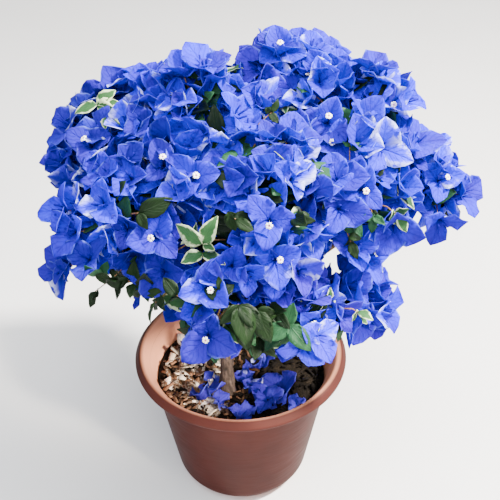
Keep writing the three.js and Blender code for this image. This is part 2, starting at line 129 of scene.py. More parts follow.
# How far chance shifts a root: aside, as a share of the spacing, and in or out; the innermost root, as a
# share of the radius
SPOT_SHIFT = 0.3
ROOT_SHIFTS = (-0.008, 0.005)
INNERMOST_ROOT = 0.1
# Inner leaves: from their axis to their tips, and the height of the tips over the root
INNER_LEAF_REACH = 0.020
INNER_LEAF_CUP = 0.012
# How deep a mass may lie in its neighbours and still be open, and how far things grow past the planes between
OPEN_DEPTH = 0.030
SEAM_OVERRUN = 0.010
# Rings where two masses meet: least overlap, spacing, how deep in a third mass they still bear blossoms,
# and how high these stand
SEAM_OVERLAP = 0.012
SEAM_SPACING = 0.034
SEAM_DEPTH = 0.004
SEAM_RISE = 0.016
# Where a direction points down more than this, this share of the spots bears leaves in place of a blossom
UNDERSIDE = -0.22
UNDERSIDE_LEAVES = 0.7
UNDERSIDE_LEAF_SIZE = 0.8
# Shares of the blossoms with an open flower, with their spray's colour, and with 0, 1 and 2 leaves below
OPEN_FLOWERS = 0.03
SPRAY_COLOURED = 0.7
LEAVES_BELOW = (0.58, 0.27, 0.15)
# Blossoms: smallest and largest, how open (middle and spread), and how far they turn from facing out
BLOSSOM_SIZES = (0.86, 1.08)
OPENNESS = (0.5, 0.3)
FACING_SPREAD = 0.34
# From a blossom's root to its middle, and from a leaf spray's root to its tip
BLOSSOM_MIDDLE = 0.016
LEAF_SPRAY_REACH = 0.034
# Room kept free in front of a shown leaf: for each unit of its size, beyond that, and how far into the crown
ROOM_PER_SIZE = 0.019
ROOM_BEYOND = 0.007
ROOM_DEPTH = 0.035
# The leaf size that a shown flower counts as
FLOWER_ROOM = 0.35
# No blossom's root lies further to the front, so the bush keeps the solids' depth
FRONTMOST_ROOT = -0.186
# An outlying blossom's root lies this far behind the crown's front
OUTLYING_SINK = 0.014
# At leaf size 1: how far a leaf reaches from its root, and how far apart they stand on a shoot
LEAF_REACH = 0.036
LEAF_STEP = 0.008

# Blades: where their rows and columns lie, lengths at size 1, half-widths as shares of the length, and
# outlines as (widest part, taper, least share of the half-width)
BRACT_ROWS = (0.0, 0.13, 0.34, 0.60, 0.84, 1.0)
LEAF_ROWS = (0.0, 0.16, 0.40, 0.64, 0.86, 1.0)
BLADE_COLUMNS = np.linspace(-1, 1, 5)
BRACT_LENGTHS = (0.034, 0.042)
BRACT_HALF_WIDTHS = (0.38, 0.47)
BRACT_OUTLINE = (1.75, 0.95, 0.04)
# A bract's lean from its blossom's axis at its foot and tip, in degrees: when shut, more when open, spread
BRACT_LEANS = ((10, 30, 5), (38, 66, 11))
BRACT_RUFFLE = 0.0042
BRACT_FOLD = 0.0016
LEAF_LENGTHS = (0.036, 0.050)
LEAF_HALF_WIDTHS = (0.27, 0.35)
LEAF_OUTLINE = (1.7, 1.0, 0.035)
LEAF_WAVE = 0.0014
# Flower tubes, and the five lobes of an open flower
TUBE_LENGTHS = (0.014, 0.019)
TUBE_RADII = (0.0009, 0.0011, 0.0013)
LOBE_LENGTH = 0.0043
LOBE_HALF_WIDTH = 0.0017
LOBE_OUTLINE = (0.25, 0.55, 0.85, 1.0, 0.62)
LOBE_RISE = 0.0010
LOBE_THICKNESS = 0.0004

# How many blossoms and leaves one piece holds
BLOSSOMS_JOINED = 480
LEAVES_JOINED = 1500
# The share of each bract colour: at least, in the crown's middle, and what it gains to the right and up
# Painted light and shade: royal and periwinkle blue gain on the upper right, where the key light falls, steel
# blue on the left and violet low down, where the crown lies in shade; the violet is partly the low bracts'
# own hue
BRACT_TONES = {
    "royal_blue": (0.35, 1.1, 0.9, 0.3),
    "periwinkle_blue": (0.10, 0.40, 0.40, 0.35),
    "violet_blue": (0.04, 0.45, 0.0, -0.9),
    "steel_blue": (0.05, 0.20, -3.6, -0.5),
}
CROWN_HALF_WIDTH = 0.28
CROWN_MIDDLE, CROWN_HALF_HEIGHT = 0.45, 0.2
# Leaves: green, paler green of the veins, margin, and from where the margin starts (9: it has none)
LEAF_KINDS = {
    "dark_green": ("#081509", "#1a2e14", "#1a2e14", 9.0),
    "mid_green": ("#113020", "#305c3a", "#305c3a", 9.0),
    "cream_edged": ("#1c3d24", "#3f6a3c", "#c2d2a4", 1.60),
}
LEAF_SHARES = (0.54, 0.33, 0.13)

# The pot's profile as (radius, height), the lip as (radius, depth below the top), the wall's angle in degrees
POT_FOOT = ((0.060, 0.0), (0.0703, 0.0))
FOOT_ROUNDING = 0.028
POT_WALL = (
    (0.1190, 0.1420), (0.1264, 0.1860), (0.1272, 0.1905), (0.1284, 0.1915), (0.1289, 0.1955),
    (0.1293, 0.2030), (0.1304, 0.2056), (0.1400, 0.2062),
)
POT_LIP = ((0.1385, 0.0009), (0.1368, 0.0022), (0.1340, 0.0060), (0.1285, 0.0150), (0.1262, 0.0185))
POT_INSIDE = (
    (0.1251, 0.1985), (0.1240, 0.1900), (0.1214, 0.1740), (0.1120, 0.1150), (0.0975, 0.0270),
    (0.0720, 0.0050), (0.004, 0.0050),
)
WALL_LEAN = math.degrees(math.atan2(0.206, 0.035))
# The rolled rim: radius and height of its outer roll, radius and place of its upper one
ROLL_RADIUS, ROLL_HEIGHT = 0.0045, 0.2107
LIP_RADIUS, LIP_INSET = 0.0062, 0.0085

SOIL_TOP = 0.176
SOIL_RADIUS = 0.1197
# Bits on the soil: count, lengths, thickness, dark and light shade, and how far they keep to the left
LITTER = {
    "pale_bark_chips": (96, (0.010, 0.034), 0.0018, ("#3c2819", "#fff0dc"), 2.4),
    "brown_bark_chips": (560, (0.003, 0.016), 0.002, ("#0b0806", "#86624a"), 0.5),
    "dry_leaf_bits": (64, (0.008, 0.024), 0.0004, ("#4a3424", "#f2dcc4"), 1.9),
}
BIT_HEIGHT = 0.0023
# A bit's width as shares of its length, spreads of its tilt, curl and bend, its room from wall and trunk
BIT_WIDTHS = (0.25, 0.6)
BIT_TILT, BIT_CURL, BIT_BEND = 0.34, 0.25, 0.5
BIT_ROOM, TRUNK_ROOM = 0.006, 0.015
# Left of here the soil's bits are many, right of here few and darkened as painted shade of the soil's right
# side
SHADE_SIDE_LINE = -0.02
# Dropped blossoms: how far over the soil their roots and their lowest points lie, and how crumpled they are
DROPPED_RISE = 0.004
DROPPED_LOWEST = 0.0022
DROPPED_CRUMPLE = 2.2

# The camera that took the photograph: its place, tilt and roll, and its focal length in pixels of 500
CAMERA_PLACE = np.array((0.0145, -1.005, 1.123))
CAMERA_PITCH = math.radians(36.02)
CAMERA_ROLL = math.radians(-0.52)
FOCAL_PIXELS = 944.8
FRAME_PIXELS = 500
SENSOR_WIDTH = 36.0

# Lamps: kind, place, what they shine on, size, power and colour
LAMPS = {
    "key_light": ("AREA", (1.45, -0.1, 2.05), (0, 0, 0.35), 0.30, 430.0, "#fff8ee"),
    "front_fill": ("AREA", (-0.4, -2.0, 2.2), (0, 0, 0.35), 2.0, 82.0, "#f4f7ff"),
    "top_fill": ("AREA", (0.0, -0.5, 3.0), (0, 0, 0.35), 2.4, 180.0, "#ffffff"),
    "pot_light": ("SPOT", (0.60, -0.70, 0.74), (-0.105, 0.010, 0.196), 0.10, 450.0, "#fff0dc"),
}
SPOT_ANGLE = math.radians(13)
SURROUNDINGS_COLOUR, SURROUNDINGS_POWER = "#f4f6ff", 0.76

# Places of the photograph, in its pixels, that show the sky or a dark gap: across, down, room in metres
SKY_GAPS = (
    (413, 114, 0.024), (418, 233, 0.032), (50, 314, 0.044), (86, 308, 0.063), (95, 300, 0.022),
    (112, 319, 0.037), (40, 240, 0.050), (150, 326, 0.028), (366, 350, 0.030), (158, 345, 0.024),
    (414, 286, 0.040), (84, 74, 0.022), (70, 88, 0.014), (52, 95, 0.029), (34, 187, 0.042),
    (238, 34, 0.033), (120, 50, 0.014), (162, 46, 0.020), (190, 36, 0.016), (345, 36, 0.027),
    (452, 126, 0.012), (171, 326, 0.015), (396, 338, 0.014), (331, 263, 0.027), (407, 217, 0.020),
)
DARK_GAPS = (
    (224, 218, 0.022), (318, 96, 0.012), (226, 214, 0.020), (291, 205, 0.015), (254, 152, 0.014),
    (205, 240, 0.012), (285, 108, 0.014), (352, 152, 0.012), (160, 205, 0.015), (262, 325, 0.026),
    (120, 282, 0.018), (188, 300, 0.013),
)
# Blossoms that stand out of the crown, and how far they face to the right (or left, -) and up
OUTLYING_BLOSSOMS = (
    (121, 76, -0.4, 0.8), (146, 75, 0.2, 1.0), (184, 66, 0.0, 1.0), (62, 123, -0.9, 0.4),
    (59, 150, -0.9, 0.1), (57, 209, -0.9, 0.1), (278, 46, -0.1, 1.0), (204, 61, 0.0, 1.0),
    (314, 43, 0.4, 1.0), (374, 64, 0.3, 1.0), (384, 72, 0.3, 0.9), (412, 97, 0.9, 0.4),
    (434, 144, 0.5, 0.7), (419, 137, 0.4, 0.7), (445, 163, 0.7, 0.5), (468, 193, 0.9, 0.1),
    (441, 227, 0.1, -0.9), (396, 230, 0.1, -0.5), (390, 313, 0.9, -0.1), (364, 319, 0.3, -0.6),
    (374, 272, 0.7, 0.0), (62, 261, -0.8, 0.3), (54, 275, -0.7, -0.3), (84, 257, -0.3, 0.3),
    (68, 232, -0.6, 0.0), (304, 350, 0.2, -0.3), (321, 338, 0.4, -0.1), (357, 247, 0.2, 0.1),
    (371, 257, 0.5, 0.2), (355, 269, 0.1, -0.2),
)
# Blossoms that show their open flower: across, down, the way of the flower's bract in degrees, and size
FLOWERING_BLOSSOMS = (
    (88, 141, 160, 0.9), (164, 162, 90, 0.95), (190, 176, 20, 0.95), (157, 237, 190, 1.1),
    (207, 287, 320, 1.0), (208, 339, 215, 1.08), (281, 47, 100, 0.95), (327, 121, 60, 0.95),
    (338, 141, 200, 0.9), (270, 220, 250, 1.0), (276, 262, 30, 1.0), (441, 179, 10, 0.92),
    (363, 188, 300, 0.95),
)

# Leaf sprigs that show through the bracts: across, down, kind, number of leaves, size
LEAF_SPRIGS = (
    (184, 250, "cream_edged", 2, 0.50), (121, 279, "dark_green", 4, 0.60),
    (146, 290, "dark_green", 5, 0.60), (104, 281, "mid_green", 2, 0.60),
    (159, 294, "dark_green", 4, 0.60), (184, 302, "dark_green", 2, 0.60),
    (284, 102, "cream_edged", 4, 0.42), (262, 112, "dark_green", 3, 0.42),
    (291, 216, "dark_green", 3, 0.50), (350, 150, "mid_green", 4, 0.40),
    (394, 208, "cream_edged", 4, 0.40), (376, 210, "mid_green", 3, 0.40),
    (346, 234, "dark_green", 3, 0.45), (228, 212, "dark_green", 4, 0.55),
    (316, 94, "mid_green", 3, 0.40), (356, 306, "cream_edged", 3, 0.40),
    (270, 306, "dark_green", 3, 0.70), (222, 301, "dark_green", 3, 0.56),
    (101, 287, "dark_green", 2, 0.62), (134, 286, "dark_green", 4, 0.56),
)

# Leaf sprays that stand out: across, down, kind, and the way and size of each leaf as (right, up, size)
SHOWN_SPRAYS = (
    (98, 106, "cream_edged", ((0.95, 0.10, 0.64), (0.6, 0.8, 0.66), (-0.9, -0.4, 0.68), (0.85, -0.5, 0.58))),
    (106, 118, "cream_edged", ((0.8, -0.6, 0.54), (0.1, -1.0, 0.40))),
    (204, 243, "cream_edged", ((-0.9, 0.45, 0.78), (0.35, 0.9, 0.70), (0.8, -0.3, 0.40))),
    (203, 254, "cream_edged", ((-0.75, -0.7, 0.66), (0.75, -0.65, 0.66))),
    (139, 213, "dark_green", ((0.9, 0.4, 0.86), (0.3, -0.9, 0.5))),
    (238, 306, "dark_green", ((0.05, -1.0, 1.15), (0.6, -0.8, 0.90), (-0.6, -0.7, 0.80))),
    (254, 310, "dark_green", ((0.2, -0.9, 0.95), (0.9, -0.4, 0.80))),
    (240, 326, "dark_green", ((0.15, -1.0, 0.90),)),
    (289, 326, "mid_green", ((0.15, 1.0, 0.72), (-0.85, -0.6, 0.76), (0.65, -0.8, 0.95))),
)

# Dropped blossoms on the soil: across, down, size
DROPPED_BRACTS = (
    (205, 400, 0.95), (219, 404, 0.60), (213, 383, 0.50), (248, 379, 0.62), (263, 368, 0.80),
    (254, 390, 0.60), (268, 400, 0.85), (284, 391, 1.00), (241, 416, 0.66), (297, 405, 0.50),
)


def linear(hex_colour):
    """The linear RGBA of an sRGB hex colour."""
    values = [int(hex_colour[i : i + 2], 16) / 255 for i in (1, 3, 5)]
    lit = [v / 12.92 if v <= 0.04045 else ((v + 0.055) / 1.055) ** 2.4 for v in values]
    return (*lit, 1.0)


def shaded(colour, share):
    """A linear colour made darker or lighter by a share."""
    return (*(value * share for value in colour[:3]), 1.0)


def new_material(name, recipe, *details):
    """A node material; its recipe adds the nodes, from places on the object, and gives the surface."""
    material = bpy.data.materials.new(name)
    material.use_nodes = True
    material.node_tree.nodes.clear()
    add = partial(add_node, material.node_tree)
    add("OutputMaterial", {"Surface": recipe(add, add("TexCoord", out=3), *details)})
    return material


def add_node(tree, kind, inputs=(), out=0, stops=(), **settings):
    """Adds a node with settings and ramp stops, fills its inputs in order or by key, and gives an output."""
    node = tree.nodes.new(f"ShaderNode{kind}")
    for name, value in settings.items():
        setattr(node, name, value)
    for key, value in inputs.items() if isinstance(inputs, dict) else enumerate(inputs):
        if isinstance(value, bpy.types.NodeSocket):
            tree.links.new(node.inputs[key], value)
        else:
            node.inputs[key].default_value = value
    for index, (position, colour) in enumerate(stops):
        elements = node.color_ramp.elements
        element = elements[index] if index < 2 else elements.new(position)
        element.position = position
        element.color = linear(colour)
    return node.outputs[out] if node.outputs else None


def blade_veins(add, count, slant):
    """Across and along a blade, and its veins: 1 on the midrib and on lines that slant away from it."""
    across = add("SeparateXYZ", (add("UVMap", uv_map="blade"),))
    along = across.node.outputs[1]
    turn = 2 * math.pi * count
    shift = add("Math", (across, -slant * turn), operation="MULTIPLY")
    phase = add("Math", (along, turn, shift), operation="MULTIPLY_ADD")
    wave = add("Math", (phase,), operation="SINE")
    side = add("MapRange", (wave, 0.7, 1.0, 0.0, 0.6))
    rib = add("MapRange", (across, 0.0, 0.1, 1.0, 0.0))
    return across, along, add("Math", (side, rib), operation="MAXIMUM")


def bract_paper(add, place, colour, painted_highlight_strength=0.85):
    """Dry papery bract: silky, crumpled and veined, with a pale edge, painted highlights and painted shade at
    its foot, bright where light comes through.
    """
    across, along, veins = blade_veins(add, 5.5, 0.45)
    tone = add("Attribute", out=2, attribute_name="tone")
    # blotches about 15 mm wide
    blotch = add("TexNoise", {"Vector": place, "Scale": 65.0, "Detail": 3.0})
    lift = add("Math", (blotch, 0.9, -0.3), operation="MULTIPLY_ADD")
    shade = add("Math", (tone, 0.7, lift), operation="MULTIPLY_ADD")
    lit = add("MapRange", (shade, 0.62, 1.05, 0.0, 0.24))
    # painted highlight: the bracts of the highest tone turn near white in patches along their edges, standing
    # in for the sun's glare
    outer = add("MapRange", (across, 0.25, 0.95, 0.0, 1.0))
    patch = add("MapRange", (blotch, 0.46, 0.56, 0.0, painted_highlight_strength))
    sunlit = add("MapRange", (tone, 0.80, 0.94, 0.0, 1.0))
    painted_highlight = add("Math", (outer, patch), operation="MULTIPLY")
    painted_highlight = add("Math", (painted_highlight, sunlit), operation="MULTIPLY")
    # the edge is a pale line about 1 mm wide
    edge = add("MapRange", (across, 0.84, 0.98, 0.0, 1.0))
    ragged = add("MapRange", (blotch, 0.42, 0.66, 0.04, 0.42))
    edge = add("Math", (edge, ragged), operation="MULTIPLY")
    # painted shade: the bract darkens towards its foot, where the three bracts meet
    throat = add("MapRange", (along, 0.0, 0.3, 0.5, 0.0))
    lines = add("Math", (veins, 0.22, throat), operation="MULTIPLY_ADD")
    base = add("Mix", {0: shade, 6: linear("#301ca4"), 7: colour}, 2, data_type="RGBA")
    for share, tint in ((lit, "#3c50ff"), (painted_highlight, "#dfe5ff"), (edge, "#7f9aff"), (lines, "#140c8c")):
        base = add("Mix", {0: share, 6: base, 7: linear(tint)}, 2, data_type="RGBA")
    # crumples about 5 mm wide
    crumple = add("TexNoise", {"Vector": place, "Scale": 200.0, "Detail": 5.0})
    height = add("Math", (veins, -0.6, crumple), operation="MULTIPLY_ADD")
    bump = add("Bump", {"Strength": 0.8, "Distance": 0.0022, "Height": height})
    finish = {"Base Color": base, "Roughness": 0.65, "IOR": 1.4, "Specular IOR Level": 0.03, "Normal": bump}
    paper = add("BsdfPrincipled", finish)
    through = add("BsdfTranslucent", {"Color": base, "Normal": bump})
    return add("MixShader", (0.4, paper, through))


def leaf_blade(add, place, green, light_green, margin, margin_from):
    """Waxy green blade with paler veins; a variegated one has ragged cream margins."""
    across, _, veins = blade_veins(add, 6.0, 0.5)
    tone = add("Attribute", out=2, attribute_name="tone")
    # flames and cloudy patches about 12 mm long
    blotch = add("TexNoise", {"Vector": place, "Scale": 85.0, "Detail": 4.0})
    lift = add("Math", (blotch, 0.8, -0.3), operation="MULTIPLY_ADD")
    shade = add("Math", (tone, 0.6, lift), operation="MULTIPLY_ADD")
    edge = add("Math", (blotch, 2.0, across), operation="MULTIPLY_ADD")
    is_margin = add("MapRange", (edge, margin_from, margin_from + 0.22, 0.0, 0.9))
    lines = add("Math", (veins, 0.22), operation="MULTIPLY")
    base = linear(green)
    for share, tint in ((shade, light_green), (is_margin, margin), (lines, light_green)):
        base = add("Mix", {0: share, 6: base, 7: linear(tint)}, 2, data_type="RGBA")
    bump = add("Bump", {"Strength": 0.5, "Distance": 0.001, "Height": veins})
    finish = {"Base Color": base, "Roughness": 0.45, "IOR": 1.4, "Specular IOR Level": 0.15, "Normal": bump}
    wax = add("BsdfPrincipled", finish)
    through = add("BsdfTranslucent", {"Color": base, "Normal": bump})
    return add("MixShader", (0.2, wax, through))


def bark(add, place, stops, cracks):
    """Woody bark: matt, grey-brown, with long cracks, as many in a metre round the limb as cracks says."""
    # cracks are four times longer than wide
    long = add("Mapping", {"Vector": place, "Scale": (1.0, 1.0, 0.25)})
    crack = add("TexNoise", {"Vector": long, "Scale": cracks, "Detail": 7.0, "Roughness": 0.65})
    patch = add("TexNoise", {"Vector": place, "Scale": 45.0, "Detail": 3.0})
    both = add("Math", (patch, 0.4, crack), operation="MULTIPLY_ADD")
    shade = add("Math", (both, 0.72), operation="MULTIPLY")
    base = add("ValToRGB", (shade,), stops=stops)
    bump = add("Bump", {"Strength": 0.9, "Distance": 0.002, "Height": crack})
    finish = {"Base Color": base, "Roughness": 0.88, "IOR": 1.45, "Specular IOR Level": 0.25, "Normal": bump}
    return add("BsdfPrincipled", finish)


def moulded_polypropylene(add, place, colour):
    """Moulded polypropylene in a terracotta colour: even, satin, faintly scuffed round the wall and dusty,
    with painted light inside, on the lip and on the rim.
    """
    # dust in clouds about 40 mm wide
    dust = add("TexNoise", {"Vector": place, "Scale": 24.0, "Detail": 6.0, "Roughness": 0.6})
    mottle = add("MapRange", (dust, 0.3, 0.75, 0.0, 1.0))
    height = add("SeparateXYZ", (place,), 2)
    # painted light: the rim is a little paler above 206 mm, where light falls on its top
    rim = add("MapRange", (height, 0.206, 0.212, 0.0, 0.035))
    # painted light: the inside, which ends at a cone through the middle of the leaning wall, is painted paler
    # all round for the lamp on the inner wall
    from_axis = add("VectorMath", (place, (1.0, 1.0, 0.0)), operation="MULTIPLY")
    radius = add("VectorMath", (from_axis,), 1, operation="LENGTH")
    cone = add("Math", (height, -0.2, radius), operation="MULTIPLY_ADD")
    wall = add("MapRange", (cone, 0.0881, 0.0883, 1.0, 0.0))
    # painted light: the top of the lip is painted paler too, where light falls on it
    lip = add("MapRange", (height, 0.2066, 0.2070, 0.0, 1.0))
    within = add("MapRange", (radius, 0.1375, 0.1435, 1.0, 0.0))
    lip = add("Math", (lip, within), operation="MULTIPLY")
    painted_light = add("Math", (wall, lip), operation="MAXIMUM")
    dark, pale = shaded(colour, 0.82), shaded(colour, 1.18)
    base = add("Mix", {0: mottle, 6: dark, 7: pale}, 2, data_type="RGBA")
    for share, tint in ((rim, "#94706c"), (painted_light, "#c98a6d")):
        base = add("Mix", {0: share, 6: base, 7: linear(tint)}, 2, data_type="RGBA")
    # scuffs that run round the wall, about 33 mm long and 2 mm high
    scuffs = add("Mapping", {"Vector": place, "Scale": (1.0, 1.0, 14.0)})
    worn = add("TexNoise", {"Vector": scuffs, "Scale": 30.0, "Detail": 4.0})
    rough = add("MapRange", (worn, 0.2, 0.8, 0.42, 0.62))
    # moulding texture finer than 1 mm
    fine = add("TexNoise", {"Vector": place, "Scale": 1300.0, "Detail": 2.0})
    bump = add("Bump", {"Strength": 0.12, "Distance": 0.0002, "Height": fine})
    finish = {"Base Color": base, "Roughness": rough, "IOR": 1.49, "Specular IOR Level": 0.05, "Normal": bump}
    return add("BsdfPrincipled", finish)


def potting_soil(add, place):
    """Potting soil: matt dark crumbs with brown fibres."""
    # crumbs about 3 mm wide, damp patches about 26 mm wide
    crumbs = add("TexNoise", {"Vector": place, "Scale": 340.0, "Detail": 8.0, "Roughness": 0.7})
    patch = add("TexNoise", {"Vector": place, "Scale": 38.0, "Detail": 4.0})
    both = add("Math", (patch, 0.45, crumbs), operation="MULTIPLY_ADD")
    shade = add("Math", (both, 0.69), operation="MULTIPLY")
    stops = ((0.36, "#0b0a08"), (0.5, "#16120e"), (0.6, "#272019"), (0.72, "#443829"))
    base = add("ValToRGB", (shade,), stops=stops)
    bump = add("Bump", {"Strength": 1.0, "Distance": 0.004, "Height": crumbs})
    finish = {"Base Color": base, "Roughness": 0.95, "IOR": 1.4, "Specular IOR Level": 0.08, "Normal": bump}
    return add("BsdfPrincipled", finish)


def dry_litter(add, place, dark, light):
    """Dry bark chips and leaf bits: matt and fibrous, each bit with its own tone, which holds painted shade
    on the soil's right side.
    """
    tone = add("Attribute", out=2, attribute_name="tone")
    # fibres about 2 mm wide
    fibre = add("TexNoise", {"Vector": place, "Scale": 420.0, "Detail": 5.0})
    lift = add("Math", (fibre, 0.8, -0.44), operation="MULTIPLY_ADD")
    shade = add("Math", (tone, lift), operation="ADD")
    base = add("Mix", {0: shade, 6: linear(dark), 7: linear(light)}, 2, data_type="RGBA")
    bump = add("Bump", {"Strength": 0.6, "Distance": 0.0015, "Height": fibre})
    finish = {"Base Color": base, "Roughness": 0.9, "IOR": 1.45, "Specular IOR Level": 0.1, "Normal": bump}
    return add("BsdfPrincipled", finish)


def flower_lobes(add, place):
    """Fleshy lobes of the true flower: creamy white with a pink ring and a dark throat."""
    _, along, veins = blade_veins(add, 2.0, 0.3)
    stops = ((0.1, "#41304a"), (0.26, "#d88fa8"), (0.42, "#fbf3df"), (0.9, "#fffdf4"))
    base = add("ValToRGB", (along,), stops=stops)
    # a grain about 2 mm wide
    grain = add("TexNoise", {"Vector": place, "Scale": 600.0, "Detail": 3.0})
    height = add("Math", (grain, veins), operation="ADD")
    bump = add("Bump", {"Strength": 0.3, "Distance": 0.0004, "Height": height})
    return add("BsdfPrincipled", {"Base Color": base, "Roughness": 0.5, "IOR": 1.45, "Normal": bump})


def pale_floor(add, place):
    """Matt paper floor, nearly white and almost even."""
    # clouds about 330 mm wide
    cloud = add("TexNoise", {"Vector": place, "Scale": 3.0, "Detail": 2.0})
    base = add("ValToRGB", (cloud,), stops=((0.3, "#cacac9"), (0.7, "#cecece")))
    finish = {"Base Color": base, "Roughness": 0.9, "IOR": 1.45, "Specular IOR Level": 0.1}
    return add("BsdfPrincipled", finish)


def mesh_piece(name, vertices, faces, material, uv=None, tone=None):
    """One object from arrays of vertices and faces, with blade coordinates and a tone for each vertex."""
    mesh = bpy.data.meshes.new(name)
    mesh.from_pydata(vertices.tolist(), [], faces)
    mesh.polygons.foreach_set("use_smooth", np.full(len(mesh.polygons), True))
    if uv is not None:
        corners = np.empty(len(mesh.loops), dtype=np.int32)
        mesh.loops.foreach_get("vertex_index", corners)
        mesh.uv_layers.new(name="blade").data.foreach_set("uv", uv[corners].ravel())
    if tone is not None:
        mesh.attributes.new("tone", "FLOAT", "POINT").data.foreach_set("value", tone.astype(np.float32))
    mesh.materials.append(material)
    piece = bpy.data.objects.new(name, mesh)
    bpy.context.scene.collection.objects.link(piece)
    return piece


def register_piece(piece, slot, *nodes):
    """Lets a piece ride on the one body and stand for CAD nodes; slot is not used."""
    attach(piece, "root")
    if nodes:
        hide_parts(*nodes)


def unit(vectors):
    """Vectors at length 1."""
    return vectors / np.maximum(np.linalg.norm(vectors, axis=-1, keepdims=True), 1e-12)


def square_axes(axes):
    """Two directions square to each axis and to each other."""
    helper = np.where(np.abs(axes[:, 2:3]) < 0.9, [[0.0, 0.0, 1.0]], [[1.0, 0.0, 0.0]])
    side = unit(np.cross(helper, axes))
    return side, np.cross(axes, side)


def sheet_faces(rows, columns):
    """Quads of one closed thin sheet: its top, its underside and its rim."""

    def at(side, row, column):
        return (side * rows + row) * columns + column

    faces = []
    for row in range(rows - 1):
        for column in range(columns - 1):
            ring = [(row, column), (row, column + 1), (row + 1, column + 1), (row + 1, column)]
            faces.append([at(0, *corner) for corner in ring])
            faces.append([at(1, *corner) for corner in reversed(ring)])
    edge = [(0, c) for c in range(columns)] + [(r, columns - 1) for r in range(1, rows)]
    edge += [(rows - 1, c) for c in range(columns - 2, -1, -1)] + [(r, 0) for r in range(rows - 2, 0, -1)]
    for here, there in zip(edge, edge[1:] + edge[:1]):
        faces.append([at(0, *there), at(0, *here), at(1, *here), at(1, *there)])
    return np.array(faces)


def thin_sheets(middle, thickness):
    """Vertices of closed sheets round middle surfaces, an array of (count, rows, columns, 3)."""
    along = np.gradient(middle, axis=1)
    across = np.gradient(middle, axis=2)
    normal = unit(np.cross(across, along))
    both = np.stack([middle + normal * thickness / 2, middle - normal * thickness / 2], axis=1)
    return both.reshape(-1, 3)


def sheets_piece(name, middle, thickness, material, tones, rows_at=None):
    """A piece of many thin sheets joined, with blade coordinates and one tone for each sheet."""
    count, rows, columns = middle.shape[:3]
    template = sheet_faces(rows, columns)
    faces = (template[None] + (np.arange(count) * 2 * rows * columns)[:, None, None]).reshape(-1, 4)
    row_shares = np.linspace(0, 1, rows) if rows_at is None else np.array(rows_at)
    v, u = np.meshgrid(row_shares, np.abs(np.linspace(-1, 1, columns)), indexing="ij")
    uv = np.tile(np.stack([u, v], -1).reshape(-1, 2), (2 * count, 1))
    tone = np.repeat(tones, 2 * rows * columns)
    return mesh_piece(name, thin_sheets(middle, thickness), faces.tolist(), material, uv, tone)


def tubes_piece(name, tubes, sides, material):
    """A piece of many tapering tubes joined, closed at both ends; each is (points, radii)."""
    vertices, faces = [], []
    start = 0
    turns = np.arange(sides)[:, None] * 2 * math.pi / sides
    for points, radii in tubes:
        points = np.asarray(points, float)
        ahead = unit(np.gradient(points, axis=0))
        helper = UP if abs(ahead[0][2]) < 0.9 else np.array((1.0, 0.0, 0.0))
        side = unit(np.cross(ahead, helper))
        ring = side[:, None] * np.cos(turns) + np.cross(ahead, side)[:, None] * np.sin(turns)
        vertices.append((points[:, None] + ring * np.asarray(radii)[:, None, None]).reshape(-1, 3))
        end = start + len(points) * sides
        for first in range(start, end - sides, sides):
            for k in range(sides):
                a, b = first + k, first + (k + 1) % sides
                faces.append((a, b, b + sides, a + sides))
        faces.append(tuple(range(start + sides - 1, start - 1, -1)))
        faces.append(tuple(range(end - sides, end)))
        start = end
    return mesh_piece(name, np.concatenate(vertices), faces, material)


def camera_axes():
    """The camera's right, up and ahead directions."""
    ahead = np.array((0, math.cos(CAMERA_PITCH), -math.sin(CAMERA_PITCH)))
    up = np.array((0, math.sin(CAMERA_PITCH), math.cos(CAMERA_PITCH)))
    right = np.array((1.0, 0.0, 0.0))
    cos, sin = math.cos(CAMERA_ROLL), math.sin(CAMERA_ROLL)
    return right * cos + up * sin, up * cos - right * sin, ahead


CAMERA_RIGHT, CAMERA_UP, CAMERA_AHEAD = camera_axes()


def sight_line(across, down):
    """Direction from the camera through a place of the photograph."""
    x = (across - FRAME_PIXELS / 2) / FOCAL_PIXELS
    y = (FRAME_PIXELS / 2 - down) / FOCAL_PIXELS
    line = CAMERA_AHEAD + CAMERA_RIGHT * x + CAMERA_UP * y
    return line / np.linalg.norm(line)


def off_line(points, line):
    """Distances of points from a line of sight, and how far along it they lie."""
    towards = np.atleast_2d(points) - CAMERA_PLACE
    along = towards @ line
    return np.linalg.norm(towards - along[:, None] * line, axis=1), along


def on_soil(across, down):
    """Where a dropped blossom that a place of the photograph shows has its root."""
    line = sight_line(across, down)
    return CAMERA_PLACE + line * ((SOIL_TOP + DROPPED_RISE - CAMERA_PLACE[2]) / line[2])


def on_crown(across, down):
    """The crown's point seen at a place of the photograph, or the nearest to it, its mass and the way out."""
    line = sight_line(across, down)
    best = None
    for name, (centre, radius) in MASSES.items():
        (off,), (along,) = off_line(centre, line)
        reach = along - math.sqrt(max(radius**2 - off**2, 0.0))
        rank = (max(off - radius, 0.0), reach)
        if best is None or rank < best[0]:
            point = CAMERA_PLACE + line * reach
            best = (rank, point, name, unit(point - centre))
    return best[1:]


def on_crown_each(table):
    """The crown's point, its mass and the way out for each row of a table, with the rest of the row."""
    for across, down, *rest in table:
        yield *on_crown(across, down), *rest


def hides(point, places):
    """Whether a point hides one of the places, each a line of sight with its room and depth."""
    for line, room, depth in places:
        (off,), (along,) = off_line(point, line)
        if off < room and along < depth:
            return True
    return False


